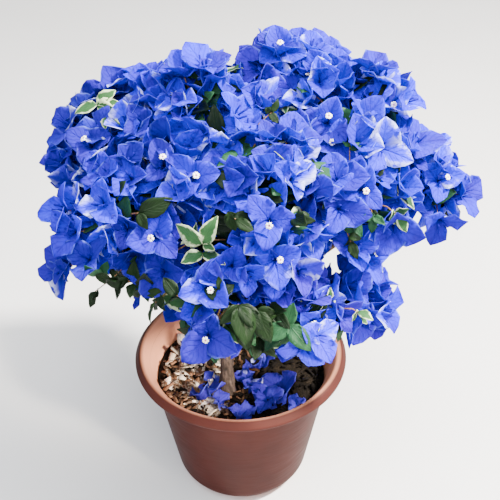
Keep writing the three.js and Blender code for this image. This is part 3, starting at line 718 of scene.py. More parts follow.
class Curve:
    """A Bezier curve that is read by its share of length."""

    def __init__(self, *controls):
        t = np.linspace(0, 1, 201)[:, None]
        points = [np.array(c, float)[None] for c in controls]
        degree = len(points) - 1
        self.table = sum(
            math.comb(degree, i) * (1 - t) ** (degree - i) * t**i * p for i, p in enumerate(points)
        )
        steps = np.linalg.norm(np.diff(self.table, axis=0), axis=1)
        self.shares = np.concatenate([[0.0], np.cumsum(steps)])
        self.length = self.shares[-1]
        self.shares /= self.length

    def at(self, share):
        """The point at a share of the length."""
        return Vector([np.interp(share, self.shares, self.table[:, axis]) for axis in range(3)])

    def heading(self, share):
        """The direction in which the curve runs at a share of the length."""
        return (self.at(min(share + 0.004, 1.0)) - self.at(max(share - 0.004, 0.0))).normalized()

    def points(self, count):
        """Evenly spaced points from end to end."""
        return [self.at(share) for share in np.linspace(0, 1, count)]


def depth_in_space(points, name):
    """How deep points lie inside a mass's space, which planes cut between it and its neighbours."""
    centre, radius = MASSES[name]
    points = np.atleast_2d(np.array(points, float))
    own = ((points - centre) ** 2).sum(1)
    depth = radius - np.sqrt(own)
    for other, (place, other_radius) in MASSES.items():
        if other != name:
            power = ((points - place) ** 2).sum(1) - other_radius**2
            depth = np.minimum(depth, (power - own + radius**2) / (2 * np.linalg.norm(centre - place)))
    return depth


def way_out(name, axis):
    """How far a mass's space reaches from its middle in one direction, and whether its round side ends it."""
    centre, radius = MASSES[name]
    nearest = radius
    for other, (place, other_radius) in MASSES.items():
        towards = place - centre
        along = float(axis @ towards)
        if other != name and along > 1e-6:
            nearest = min(nearest, (towards @ towards - other_radius**2 + radius**2) / (2 * along))
    return max(nearest, 0.0), nearest >= radius


def entry_point(name, start):
    """Where a bough ends in its mass, on the way from its foot to the middle."""
    centre, radius = Vector(MASSES[name][0]), MASSES[name][1]
    inward = (start - centre).normalized()
    share = ENTRY_SHARE
    while True:
        point = centre + inward * share * radius
        share -= ENTRY_STEP
        if depth_in_space(point, name)[0] >= ENTRY_DEPTH or share <= NEAREST_ENTRY:
            return point


def plan_limbs():
    """Every limb's curve and radii by name, the trunk first."""
    limbs = {"trunk": (Curve(TRUNK_FOOT, TRUNK_BEND, TRUNK_FORK), *TRUNK_RADII)}
    for name, parent, up in BOUGHS:
        parent_curve = limbs[parent][0]
        heading = parent_curve.heading(up)
        goes_on = up == 1.0
        start = parent_curve.at(up)
        end = entry_point(name, start)
        span = (end - start).length
        straight = (end - start).normalized()
        leave = heading if goes_on else straight.lerp(heading, LEAVE_ALONG).normalized()
        arrive = (Vector(MASSES[name][0]) - end).normalized().lerp(straight, 0.5).normalized()
        near, far = BOUGH_HANDLES
        curve = Curve(start, start + leave * span * near, end - arrive * span * far, end)
        foot, tip = MAIN_BOUGH_RADII if parent == "trunk" else SIDE_BOUGH_RADII
        limbs[name] = (curve, TRUNK_RADII[1] if goes_on else foot, tip)
    return limbs


def fibonacci_direction(k, count, turn):
    """One of a count of directions that are spread evenly all round."""
    z = 1 - 2 * (k + 0.5) / count
    flat = math.sqrt(1 - z * z)
    angle = k * GOLDEN_ANGLE + turn
    return np.array((flat * math.cos(angle), flat * math.sin(angle), z))


def plan_mass(name, index, limbs, is_sky):
    """The stem and arms of one mass as curves with radii, clear of the sky, and the footholds on them."""
    curve, _, tip = limbs[name]
    centre, radius = Vector(MASSES[name][0]), MASSES[name][1]
    foot = curve.at(1.0)
    knee = foot + curve.heading(1.0) * (foot - centre).length * 0.5
    stem = Curve(foot, knee, centre + (centre - foot).normalized() * STEM_BEYOND * radius)
    twigs = [(stem, tip, STEM_TIP_RADIUS)]
    for arm in range(ARM_COUNT):
        end = centre + Vector(fibonacci_direction(arm, ARM_COUNT, index)) * ARM_REACH * radius
        start = stem.at(ARMS_FROM + (ARMS_TO - ARMS_FROM) * arm / (ARM_COUNT - 1))
        if depth_in_space(end, name)[0] > ARM_ROOM and not is_sky(np.array(end)):
            bend = (start + end) / 2 + Vector((0, 0, ARM_RISE * radius))
            twigs.append((Curve(start, bend, end), *ARM_RADII))
    shares = np.linspace(LOWEST_FOOTHOLD, HIGHEST_FOOTHOLD, FOOTHOLDS)
    return twigs, np.array([twig.at(share) for twig, _, _ in twigs for share in shares])


def spots_in_mass(name, turn, spacing, depth, reach, cup, rng):
    """Roots and outward directions of things that face out of a mass, evenly spread where it is open."""
    centre, radius = MASSES[name]
    count = round(4 * math.pi * radius**2 / spacing**2)
    found = []
    for k in range(count):
        axis = unit(fibonacci_direction(k, count, turn) + rng.normal(0, SPOT_SHIFT * spacing / radius, 3))
        shift = rng.uniform(*ROOT_SHIFTS)
        if depth_in_space(centre + axis * (radius - 0.001), name)[0] < -OPEN_DEPTH:
            continue
        limit, is_round = way_out(name, axis)
        limit = min(radius, limit + (0.0 if is_round else SEAM_OVERRUN))
        root = math.sqrt(max(limit**2 - reach**2, 0.0)) - cup - depth + shift
        if root > INNERMOST_ROOT * radius:
            found.append((centre + axis * root, axis))
    return found


def seam_spots(rng):
    """Places and outward directions along the rings where two masses meet, outside all the others."""
    found = []
    for first, second in combinations(MASSES, 2):
        (centre, radius), (other_centre, other_radius) = MASSES[first], MASSES[second]
        gap = other_centre - centre
        distance = np.linalg.norm(gap)
        if distance > radius + other_radius - SEAM_OVERLAP:
            continue
        along = (distance**2 + radius**2 - other_radius**2) / (2 * distance)
        ring = math.sqrt(max(radius**2 - along**2, 0.0))
        side, other = square_axes(unit(gap)[None])
        others = [MASSES[name] for name in MASSES if name not in (first, second)]
        count = round(2 * math.pi * ring / SEAM_SPACING)
        for k in range(count):
            turn = 2 * math.pi * (k + rng.uniform(-SPOT_SHIFT, SPOT_SHIFT)) / count
            axis = side[0] * math.cos(turn) + other[0] * math.sin(turn)
            point = centre + gap / distance * along + axis * ring
            if all(np.linalg.norm(point - middle) > reach - SEAM_DEPTH for middle, reach in others):
                found.append((first, point, axis))
    return found


def blade_outline(v, widest, taper, least):
    """The half-width of an ovate blade with a pointed tip, as a share of its greatest."""
    shape = np.sqrt(v) * np.clip(1 - v**widest, 0, 1) ** taper
    return np.maximum(shape / 0.5, least)


def bract_sheets(roots, axes, rolls, rng, sizes, openness, crumple=1.0):
    """Middle surfaces of the three cupped, wavy bracts of each blossom, and their outward directions."""
    count = len(roots)
    side, other = square_axes(axes)
    v, u = np.array(BRACT_ROWS), BLADE_COLUMNS
    sheets, outs = [], []
    for bract in range(3):
        angle = (rolls + bract * 2 * math.pi / 3 + rng.normal(0, 0.15, count))[:, None]
        out = side * np.cos(angle) + other * np.sin(angle)
        length = (sizes * rng.uniform(*BRACT_LENGTHS, count))[:, None]
        width = length * rng.uniform(*BRACT_HALF_WIDTHS, (count, 1)) * blade_outline(v, *BRACT_OUTLINE)
        # the lean away from the axis at the foot and at the tip, and the path that it gives
        first, last = (
            np.radians(shut + more * openness + rng.normal(0, spread, count))[:, None]
            for shut, more, spread in BRACT_LEANS
        )
        lean = first + (last - first) * v**0.8
        steps = length * np.diff(v)
        between = (lean[:, 1:] + lean[:, :-1]) / 2
        ways = (np.cumsum(part(between) * steps, axis=1) for part in (np.sin, np.cos))
        radial, rise = (np.pad(way, ((0, 0), (1, 0)))[..., None] for way in ways)
        face = axes[:, None] * np.sin(lean)[..., None] - out[:, None] * np.cos(lean)[..., None]
        phase = rng.uniform(0, 2 * math.pi, (count, 1, 1))
        waves = rng.uniform(1.2, 2.2, (count, 1, 1))
        wave = np.sin(2 * math.pi * waves * v[:, None] + phase + 1.7 * np.sign(u))
        ruffle = BRACT_RUFFLE * crumple * u**2 * wave * np.sin(math.pi * v**0.7)[:, None]
        cup = rng.uniform(-0.05, 0.5, (count, 1, 1)) * width[..., None] * u**2
        fold = -BRACT_FOLD * np.exp(-((u / 0.3) ** 2)) * np.sin(math.pi * v)[:, None]
        twist = (rng.normal(0, 0.25, (count, 1)) * v)[..., None]
        sideways = np.cross(axes, out)[:, None] * np.cos(twist) + face * np.sin(twist)
        base = roots[:, None] + axes[:, None] * rise + out[:, None] * radial
        middle = base[:, :, None] + sideways[:, :, None] * (width[..., None] * u)[..., None]
        sheets.append(middle + face[:, :, None] * (ruffle + cup + fold)[..., None])
        outs.append(out)
    return sheets, outs


def leaf_sheets(roots, headings, faces, sizes, rng):
    """Middle surfaces of ovate leaves, folded along the midrib and drooping at the tip."""
    count = len(roots)
    headings = unit(headings)
    side = unit(np.cross(headings, faces))
    normal = np.cross(side, headings)[:, None]
    v, u = np.array(LEAF_ROWS), BLADE_COLUMNS
    length = (sizes * rng.uniform(*LEAF_LENGTHS, count))[:, None]
    width = length * rng.uniform(*LEAF_HALF_WIDTHS, (count, 1)) * blade_outline(v, *LEAF_OUTLINE)
    droop = -rng.uniform(0.05, 0.35, (count, 1)) * length * v**2
    fold = rng.uniform(0.12, 0.4, (count, 1, 1)) * width[..., None] * np.abs(u)
    wave = LEAF_WAVE * u**2 * np.sin(9 * v[:, None] + rng.uniform(0, 6, (count, 1, 1)))
    base = roots[:, None] + headings[:, None] * (length * v)[..., None] + normal * droop[..., None]
    middle = base[:, :, None] + side[:, None, None] * (width[..., None] * u)[..., None]
    return middle + normal[:, None] * (fold + wave)[..., None]


def tone_of(root, rng):
    """The bract colour dealt to a spray: painted light and shade, lighter high on the right, greyer on the
    left, deeper low down.
    """
    right, high = root[0] / CROWN_HALF_WIDTH, (root[2] - CROWN_MIDDLE) / CROWN_HALF_HEIGHT
    weights = np.array([
        max(least, middle + by_right * right + by_up * high)
        for least, middle, by_right, by_up in BRACT_TONES.values()
    ])
    return tuple(BRACT_TONES)[rng.choice(len(weights), p=weights / weights.sum())]


class Growth:
    """What grows on the limbs, gathered before it is joined: twigs, blossoms by colour, leaves by kind."""

    def __init__(self, settings):
        self.settings = settings
        self.rng = np.random.default_rng(settings.seed)
        self.twigs = []
        self.blossoms = {tone: [] for tone in BRACT_TONES}
        self.leaves = {kind: [] for kind in LEAF_KINDS}
        self.footholds = {}
        self.spray_tones = {}
        self.sky, self.dark = (
            [(sight_line(across, down), room, math.inf) for across, down, room in gaps]
            for gaps in (SKY_GAPS, DARK_GAPS)
        )
        shown = [(across, down, size) for across, down, _, _, size in LEAF_SPRIGS]
        shown += [(across, down, leaves[0][2]) for across, down, _, leaves in SHOWN_SPRAYS]
        shown += [(across, down, FLOWER_ROOM) for across, down, _, _ in FLOWERING_BLOSSOMS]
        for across, down, size in shown:
            line = sight_line(across, down)
            depth = (on_crown(across, down)[0] - CAMERA_PLACE) @ line + ROOM_DEPTH
            self.dark.append((line, ROOM_PER_SIZE * size + ROOM_BEYOND, depth))

    def is_sky(self, point):
        """Whether a point would hide the sky."""
        return hides(point, self.sky)

    def is_dark(self, point):
        """Whether a point would hide a dark gap, or a leaf or flower that shows."""
        return hides(point, self.dark)

    def nearest_foothold(self, name, root):
        """The foothold of a mass nearest to a root, and its number."""
        footholds = self.footholds[name]
        index = int(((footholds - root) ** 2).sum(1).argmin())
        return footholds[index], index

    def shoot(self, name, root, facing, radii):
        """A bent shoot from the nearest foothold to a root."""
        foothold, index = self.nearest_foothold(name, root)
        reach = np.linalg.norm(root - foothold)
        curve = Curve(foothold, root - facing * 0.4 * reach, root)
        self.twigs.append((curve.points(5), np.linspace(*radii, 5)))
        return curve, index

    def add_blossom(self, name, root, facing, openness=None, roll=None, size=None):
        """One blossom on its shoot, in its spray's colour or now and then in its own."""
        rng = self.rng
        root = np.array((root[0], max(root[1], FRONTMOST_ROOT), root[2]))
        curve, index = self.shoot(name, root, facing, BLOSSOM_SHOOT_RADII)
        spray = (name, index // FOOTHOLDS)
        if spray not in self.spray_tones:
            self.spray_tones[spray] = tone_of(root, rng)
        tone = self.spray_tones[spray] if rng.uniform() < SPRAY_COLOURED else tone_of(root, rng)
        openness = np.clip(rng.normal(*OPENNESS), 0, 1) if openness is None else openness
        in_flower = roll is not None or rng.uniform() < OPEN_FLOWERS
        roll = rng.uniform(0, 2 * math.pi) if roll is None else roll
        size = rng.uniform(*BLOSSOM_SIZES) if size is None else size
        self.blossoms[tone].append((root, facing, openness, in_flower, roll, size))
        return curve

    def add_leaf(self, root, axis, outward, rise, size, kind):
        """One leaf that heads off an axis by chance and faces up and out, unless it would hide the sky."""
        heading = self.rng.normal(0, 1, 3)
        heading = unit(heading - axis * (heading @ axis)) + outward * axis
        grows = not self.is_sky(root + unit(heading) * LEAF_REACH * size)
        if grows:
            self.leaves[kind].append((root, heading, axis + UP * rise, size))
        return grows

    def any_kind(self):
        """A leaf kind by chance."""
        return tuple(LEAF_KINDS)[self.rng.choice(3, p=LEAF_SHARES)]

    def leaf_spray(self, name, tip, ahead, facing, count, size, kind=None):
        """A shoot with a leaf at its tip and others off it in turn; only a named kind may hide the sky."""
        rng = self.rng
        side, other = square_axes(ahead[None])
        start = rng.uniform(0, 2 * math.pi)
        grows = False
        for k in range(count):
            turn = start + k * GOLDEN_ANGLE
            off = side[0] * math.cos(turn) + other[0] * math.sin(turn)
            heading = ahead + (off * rng.uniform(0.8, 2.0) if k else rng.normal(0, 0.2, 3))
            face = facing + rng.normal(0, 0.35, 3)
            root = tip - ahead * LEAF_STEP * size * k
            leaf_size = size * rng.uniform(0.75, 1.15)
            leaf_kind = kind or self.any_kind()
            if kind or not self.is_sky(root + unit(heading) * LEAF_REACH * leaf_size):
                self.leaves[leaf_kind].append((root, heading, face, leaf_size))
                grows = True
        if grows:
            self.shoot(name, tip, ahead, LEAF_SHOOT_RADII)

    def grow_mass(self, name, index, limbs):
        """The twigs, blossoms and leaves of one mass."""
        rng = self.rng
        curves, self.footholds[name] = plan_mass(name, index, limbs, self.is_sky)
        self.twigs += [(curve.points(8), np.linspace(foot, tip, 8)) for curve, foot, tip in curves]
        reach, cup = self.settings.blossom_reach, self.settings.blossom_cup
        for layer, (spacing, depth) in enumerate(BLOSSOM_LAYERS):
            for root, axis in spots_in_mass(name, index + 1.9 * layer, spacing, depth, reach, cup, rng):
                self.grow_spot(name, root, axis)
        reach, cup = INNER_LEAF_REACH, INNER_LEAF_CUP
        for layer, (spacing, depth) in enumerate(LEAF_LAYERS):
            for root, axis in spots_in_mass(name, index + 0.8 + layer, spacing, depth, reach, cup, rng):
                if self.is_sky(root):
                    continue
                if self.add_leaf(root, axis, 0.45, 0.5, rng.uniform(0.85, 1.1), self.any_kind()):
                    foothold, _ = self.nearest_foothold(name, root)
                    middle = (foothold + root) / 2 + axis * 0.003
                    self.twigs.append(((foothold, middle, root), LEAF_TWIG_RADII))

    def grow_spot(self, name, root, axis):
        """A blossom with a few leaves on its shoot, or a leaf spray where the spot looks down."""
        rng = self.rng
        facing = unit(axis + UP * 0.2 + rng.normal(0, FACING_SPREAD, 3))
        seen = root + facing * BLOSSOM_MIDDLE
        if self.is_sky(seen):
            return
        if axis[2] < UNDERSIDE and rng.uniform() < UNDERSIDE_LEAVES:
            if not self.is_sky(root + axis * LEAF_SPRAY_REACH):
                count = int(rng.integers(3, 6))
                self.leaf_spray(name, root, axis, axis + UP * 0.5, count, UNDERSIDE_LEAF_SIZE)
            return
        if self.is_dark(seen):
            return
        curve = self.add_blossom(name, root, facing)
        for _ in range(rng.choice(3, p=LEAVES_BELOW)):
            foot = np.array(curve.at(rng.uniform(0.35, 0.85)))
            self.add_leaf(foot, axis, 0.6, 0.9, rng.uniform(0.75, 1.05), self.any_kind())

    def grow_seams(self):
        """What fills the valleys between neighbouring masses."""
        for name, point, axis in seam_spots(self.rng):
            self.grow_spot(name, point - axis * (self.settings.blossom_cup - SEAM_RISE), axis)

    def grow_seen_places(self):
        """The blossoms that stand out, the open flowers, and the leaves that the photograph shows."""
        for point, name, _, right, up in on_crown_each(OUTLYING_BLOSSOMS):
            facing = unit(CAMERA_RIGHT * right + CAMERA_UP * up - CAMERA_AHEAD * 0.8)
            self.add_blossom(name, point - facing * OUTLYING_SINK, facing, 0.75)
        for point, name, outward, way, size in on_crown_each(FLOWERING_BLOSSOMS):
            facing = unit(outward * 0.5 - CAMERA_AHEAD + UP * 0.15)
            self.add_blossom(name, point - facing * BLOSSOM_MIDDLE, facing, 0.85, math.radians(way), size)
        for point, name, outward, kind, count, size in on_crown_each(LEAF_SPRIGS):
            facing = unit(outward - CAMERA_AHEAD * 0.6)
            ahead = unit(unit(np.cross(facing, self.rng.normal(0, 1, 3))) + facing * 0.5 - UP * 0.2)
            self.leaf_spray(name, point - facing * 0.004 + ahead * 0.012, ahead, facing, count, size, kind)
        for point, name, outward, kind, leaves in on_crown_each(SHOWN_SPRAYS):
            facing = unit(outward - CAMERA_AHEAD)
            point = point + facing * 0.003
            point[1] = max(point[1], FRONTMOST_ROOT)
            self.shoot(name, point, facing, SPRAY_SHOOT_RADII)
            for right, up, size in leaves:
                heading = unit(CAMERA_RIGHT * right + UP * up)
                heading = unit(heading - facing * (heading @ facing - 0.15))
                self.leaves[kind].append((point, heading, facing + self.rng.normal(0, 0.2, 3), size))


def in_parts(members, most):
    """The number of each piece that members are joined in, and their values as one array for each kind."""
    for start in range(0, len(members), most):
        yield start // most + 1, [np.array(values) for values in zip(*members[start : start + most])]


def length_setting(label, text, metres):
    """A setting for a length."""
    return bpy.props.FloatProperty(name=label, description=text, default=metres, unit="LENGTH")


def colour_setting(label, text, hex_colour):
    """A setting for a colour."""
    words = {"name": label, "description": text, "default": linear(hex_colour)}
    return bpy.props.FloatVectorProperty(**words, subtype="COLOR", size=4)


class BushSettings(bpy.types.PropertyGroup):
    """Sizes and colours of what grows on the limbs."""

    blossom_reach: length_setting("Blossom reach", "From a blossom's axis to its bract tips", 0.028)
    blossom_cup: length_setting("Blossom cup", "Height of the bract tips over the root", 0.0255)
    bract_thickness: length_setting("Bract thickness", "Thickness of a papery bract", 0.0003)
    leaf_thickness: length_setting("Leaf thickness", "Thickness of a leaf", 0.0004)
    # the bract blues by place hold painted light and shade: periwinkle gains where the key light falls, steel
    # blue and violet in the crown's shade
    royal_blue: colour_setting("Royal blue", "Most bracts", "#2a08ff")
    periwinkle_blue: colour_setting("Periwinkle", "Bracts high on the right", "#3218ff")
    violet_blue: colour_setting("Violet blue", "Bracts low down", "#3e0cd2")
    steel_blue: colour_setting("Steel blue", "Bracts on the left", "#2420a4")
    seed: bpy.props.IntProperty(name="Seed", description="Start of the random draws", default=11)


class PotSettings(bpy.types.PropertyGroup):
    """Driving sizes and the colour of the pot."""

    rim_radius: length_setting("Rim radius", "Outside of the rolled rim", 0.150)
    height: length_setting("Height", "Height of the pot", 0.220)
    segments: bpy.props.IntProperty(name="Segments", description="Steps round the pot", default=144)
    # the plastic's colour is set darker than its own, as painted shade of the pot's side
    colour: colour_setting("Colour", "Colour of the plastic", "#351510")


def turned_piece(name, profile, segments):
    """A turned piece: a ring that is extruded and resized from point to point of (radius, height)."""
    bpy.ops.object.select_all(action="DESELECT")
    radius, height = profile[0]
    place = (0, 0, height)
    bpy.ops.mesh.primitive_circle_add(vertices=segments, radius=radius, fill_type="NGON", location=place)
    piece = bpy.context.object
    piece.name = name
    bpy.ops.object.transform_apply(location=True, rotation=True, scale=True)
    bpy.ops.object.mode_set(mode="EDIT")
    bpy.ops.mesh.select_all(action="SELECT")
    for target_radius, target_height in profile[1:]:
        bpy.ops.mesh.extrude_region_move(TRANSFORM_OT_translate={"value": (0, 0, target_height - height)})
        share = target_radius / radius
        bpy.ops.transform.resize(value=(share, share, 1.0), center_override=(0, 0, target_height))
        radius, height = target_radius, target_height
    bpy.ops.mesh.select_all(action="SELECT")
    bpy.ops.mesh.normals_make_consistent(inside=False)
    bpy.ops.object.mode_set(mode="OBJECT")
    return piece


def arc_points(centre, radius, start, end, steps):
    """Points of a round stretch of a profile, from one angle to another in degrees."""
    angles = np.radians(np.linspace(start, end, steps))
    return [(centre[0] + radius * math.cos(a), centre[1] + radius * math.sin(a)) for a in angles]


def apply_displace(piece, texture_name, scale, strength, depth=2, direction="NORMAL"):
    """Raises a cloud relief on a piece and applies it; the scale is in metres."""
    texture = bpy.data.textures.new(texture_name, "CLOUDS")
    texture.noise_scale = scale
    texture.noise_depth = depth
    modifier = piece.modifiers.new(texture_name, "DISPLACE")
    modifier.texture = texture
    modifier.strength = strength
    modifier.mid_level = 0.5
    modifier.direction = direction
    bpy.context.view_layer.objects.active = piece
    bpy.ops.object.modifier_apply(modifier=texture_name)


class BUSH_OT_camera(bpy.types.Operator):
    """Places the camera at the photograph's viewing angle"""

    bl_idname = "bush.camera"
    bl_label = "Camera"

    def execute(self, context):
        bpy.ops.object.camera_add(location=(0, 0, 0))
        camera = context.object
        camera.name = "photo_camera"
        camera.data.sensor_width = SENSOR_WIDTH
        camera.data.lens = FOCAL_PIXELS / FRAME_PIXELS * SENSOR_WIDTH
        turn = Matrix((CAMERA_RIGHT, CAMERA_UP, -CAMERA_AHEAD)).transposed().to_4x4()
        camera.matrix_world = Matrix.Translation(CAMERA_PLACE) @ turn
        context.scene.camera = camera
        return {"FINISHED"}


class BUSH_OT_stage(bpy.types.Operator):
    """Adds the pale floor, the lights and the even surroundings"""

    bl_idname = "bush.stage"
    bl_label = "Stage"

    def execute(self, context):
        bpy.ops.object.select_all(action="DESELECT")
        bpy.ops.mesh.primitive_plane_add(size=14, location=(0, 0, -0.0005))
        floor = context.object
        floor.name = "stage_floor"
        floor.data.materials.append(new_material("pale_paper_floor", pale_floor))
        for name, (kind, place, aim, size, power, colour) in LAMPS.items():
            bpy.ops.object.light_add(type=kind, location=place)
            lamp = context.object
            lamp.name = name
            lamp.data.energy = power
            lamp.data.color = linear(colour)[:3]
            if kind == "AREA":
                lamp.data.shape = "DISK"
                lamp.data.size = size
            else:
                lamp.data.shadow_soft_size = size
                lamp.data.spot_size = SPOT_ANGLE
                lamp.data.spot_blend = 1.0
            lamp.rotation_euler = (Vector(aim) - Vector(place)).to_track_quat("-Z", "Y").to_euler()
        world = bpy.data.worlds.new("studio_surroundings")
        world.use_nodes = True
        background = world.node_tree.nodes["Background"]
        background.inputs[0].default_value = linear(SURROUNDINGS_COLOUR)
        background.inputs[1].default_value = SURROUNDINGS_POWER
        context.scene.world = world
        return {"FINISHED"}


class BUSH_OT_pot(bpy.types.Operator):
    """Builds the moulded plastic pot with its rolled rim and the step below it"""

    bl_idname = "bush.pot"
    bl_label = "Pot"

    def execute(self, context):
        settings = context.scene.pot_settings
        rim, top = settings.rim_radius, settings.height
        rounding = arc_points((POT_FOOT[-1][0], FOOT_ROUNDING), FOOT_ROUNDING, -80, WALL_LEAN - 90, 14)
        roll = arc_points((rim - ROLL_RADIUS, ROLL_HEIGHT), ROLL_RADIUS, -80, 60, 9)
        roll += arc_points((rim - LIP_INSET, top - LIP_RADIUS), LIP_RADIUS, 52, 100, 6)
        lip = [(radius, top - depth) for radius, depth in POT_LIP]
        profile = [*POT_FOOT, *rounding, *POT_WALL, *roll, *lip, *POT_INSIDE]
        pot = turned_piece("pot_moulded_plastic", profile, settings.segments)
        bpy.ops.object.shade_smooth_by_angle(angle=math.radians(38))
        plastic = new_material("terracotta_polypropylene", moulded_polypropylene, tuple(settings.colour))
        pot.data.materials.append(plastic)
        register_piece(pot, "pot", "pot")
        return {"FINISHED"}


class BUSH_OT_soil(bpy.types.Operator):
    """Fills the pot with rough soil, bark chips and dry leaf bits"""

    bl_idname = "bush.soil"
    bl_label = "Soil"

    def execute(self, context):
        rng = np.random.default_rng(context.scene.bush_settings.seed + 5)
        # a heap that rises 2 mm from the wall to the middle
        rings = [(SOIL_RADIUS * (1 - i / 60), SOIL_TOP - 0.0008 + 0.002 * (i / 60)) for i in range(59)]
        soil = turned_piece("soil_fill", [(0.070, 0.0062), (0.0968, 0.0285), *rings], 180)
        apply_displace(soil, "soil_lumps", 0.016, 0.0046, 3, "Z")
        apply_displace(soil, "soil_crumbs", 0.0038, 0.0024, 2, "Z")
        soil.data.polygons.foreach_set("use_smooth", np.full(len(soil.data.polygons), True))
        soil.data.materials.append(new_material("potting_soil", potting_soil))
        register_piece(soil, "soil", "soil")
        for name, bits in LITTER.items():
            self.scatter(name, *bits, rng)
        return {"FINISHED"}

    @staticmethod
    def scatter(name, count, lengths, thickness, shades, leftward, rng):
        """Lays irregular flat bits on the soil."""
        radius = (SOIL_RADIUS - BIT_ROOM) * np.sqrt(rng.uniform(0, 1, count * 4))
        angle = rng.uniform(0, 2 * math.pi, count * 4)
        x, y = radius * np.cos(angle), radius * np.sin(angle)
        keep = rng.uniform(0, 1, count * 4) < 0.5 - 0.5 * leftward * (x - SHADE_SIDE_LINE) / SOIL_RADIUS
        keep &= np.hypot(x - TRUNK_FOOT.x, y - TRUNK_FOOT.y) > TRUNK_ROOM
        x, y = (values[keep][:count, None, None] for values in (x, y))
        each = x.shape
        length = rng.uniform(*lengths, each)
        width = length * rng.uniform(*BIT_WIDTHS, each)
        heading = rng.uniform(0, 2 * math.pi, each)
        tilt = rng.normal(0, BIT_TILT, (len(x), 2, 1, 1))
        along = length * np.linspace(-0.5, 0.5, 4)[:, None]
        across = width / 2 * np.linspace(-1, 1, 3) * rng.uniform(0.45, 1.0, (len(x), 4, 1))
        curl = rng.normal(0, BIT_CURL, each) * across**2 / width
        bend = rng.normal(0, BIT_BEND, each) * along**2 / length
        height = SOIL_TOP + BIT_HEIGHT + along * tilt[:, 0] + across * tilt[:, 1] + curl + bend
        cos, sin = np.cos(heading), np.sin(heading)
        places = np.stack([x + along * cos - across * sin, y + along * sin + across * cos, height], -1)
        inside = np.hypot(places[..., 0], places[..., 1]).max((1, 2)) <= SOIL_RADIUS - 0.001
        # painted shade: the bits darken towards the soil's right side, which lies in shade
        painted_shade = np.clip((x[inside, 0, 0] - SHADE_SIDE_LINE) / 0.05, 0, 1)
        tones = rng.uniform(0, 1, len(painted_shade)) ** 1.4 - painted_shade
        litter = new_material(f"{name}_litter", dry_litter, *shades)
        register_piece(sheets_piece(name, places[inside], thickness, litter, tones), "soil")


class BUSH_OT_limbs(bpy.types.Operator):
    """Grows the trunk and the boughs with bark relief"""

    bl_idname = "bush.limbs"
    bl_label = "Trunk and boughs"

    def execute(self, context):
        limbs = plan_limbs()
        trunk = self.limb("trunk_bark", *limbs["trunk"], 12, TRUNK_FLARE)
        apply_displace(trunk, "trunk_knots", 0.018, 0.0030, 1)
        apply_displace(trunk, "trunk_cracks", 0.0042, 0.0016, 3)
        stops = ((0.36, "#191411"), (0.5, "#352b26"), (0.66, "#5a4c44"))
        trunk.data.materials.append(new_material("old_grey_brown_bark", bark, stops, 260.0))
        register_piece(trunk, "bark", "trunk")
        boughs = []
        for name, _, _ in BOUGHS:
            bough = self.limb(f"bark_of_{name}", *limbs[name], 9, 0.0)
            apply_displace(bough, f"cracks_of_{name}", 0.006, 0.0011, 3)
            boughs.append(bough)
        bpy.ops.object.select_all(action="DESELECT")
        for bough in boughs:
            bough.select_set(True)
        context.view_layer.objects.active = boughs[0]
        bpy.ops.object.join()
        joined = context.object
        joined.name = "boughs_bark"
        stops = ((0.36, "#33251a"), (0.5, "#6b533b"), (0.66, "#94805e"))
        joined.data.materials.append(new_material("young_brown_bark", bark, stops, 320.0))
        register_piece(joined, "bark", *[f"bough_{name}" for name, _, _ in BOUGHS])
        return {"FINISHED"}

    @staticmethod
    def limb(name, curve, foot, tip, count, flare):
        """One tapering limb as a round tube on a smooth curve, turned to a mesh."""
        bpy.ops.object.select_all(action="DESELECT")
        bpy.ops.curve.primitive_bezier_curve_add(location=(0, 0, 0))
        tube = bpy.context.object
        tube.name = name
        data = tube.data
        data.dimensions = "3D"
        data.resolution_u = 10
        data.bevel_depth = 1.0
        data.bevel_resolution = 6
        data.use_fill_caps = True
        spline = data.splines[0]
        spline.bezier_points.add(count - 2)
        for i, point in enumerate(spline.bezier_points):
            share = i / (count - 1)
            point.co = curve.at(share)
            point.handle_left_type = point.handle_right_type = "AUTO"
            point.radius = foot + (tip - foot) * share + flare * math.exp(-share / FLARE_SHARE)
        bpy.ops.object.convert(target="MESH")
        bpy.ops.object.shade_smooth()
        return bpy.context.object


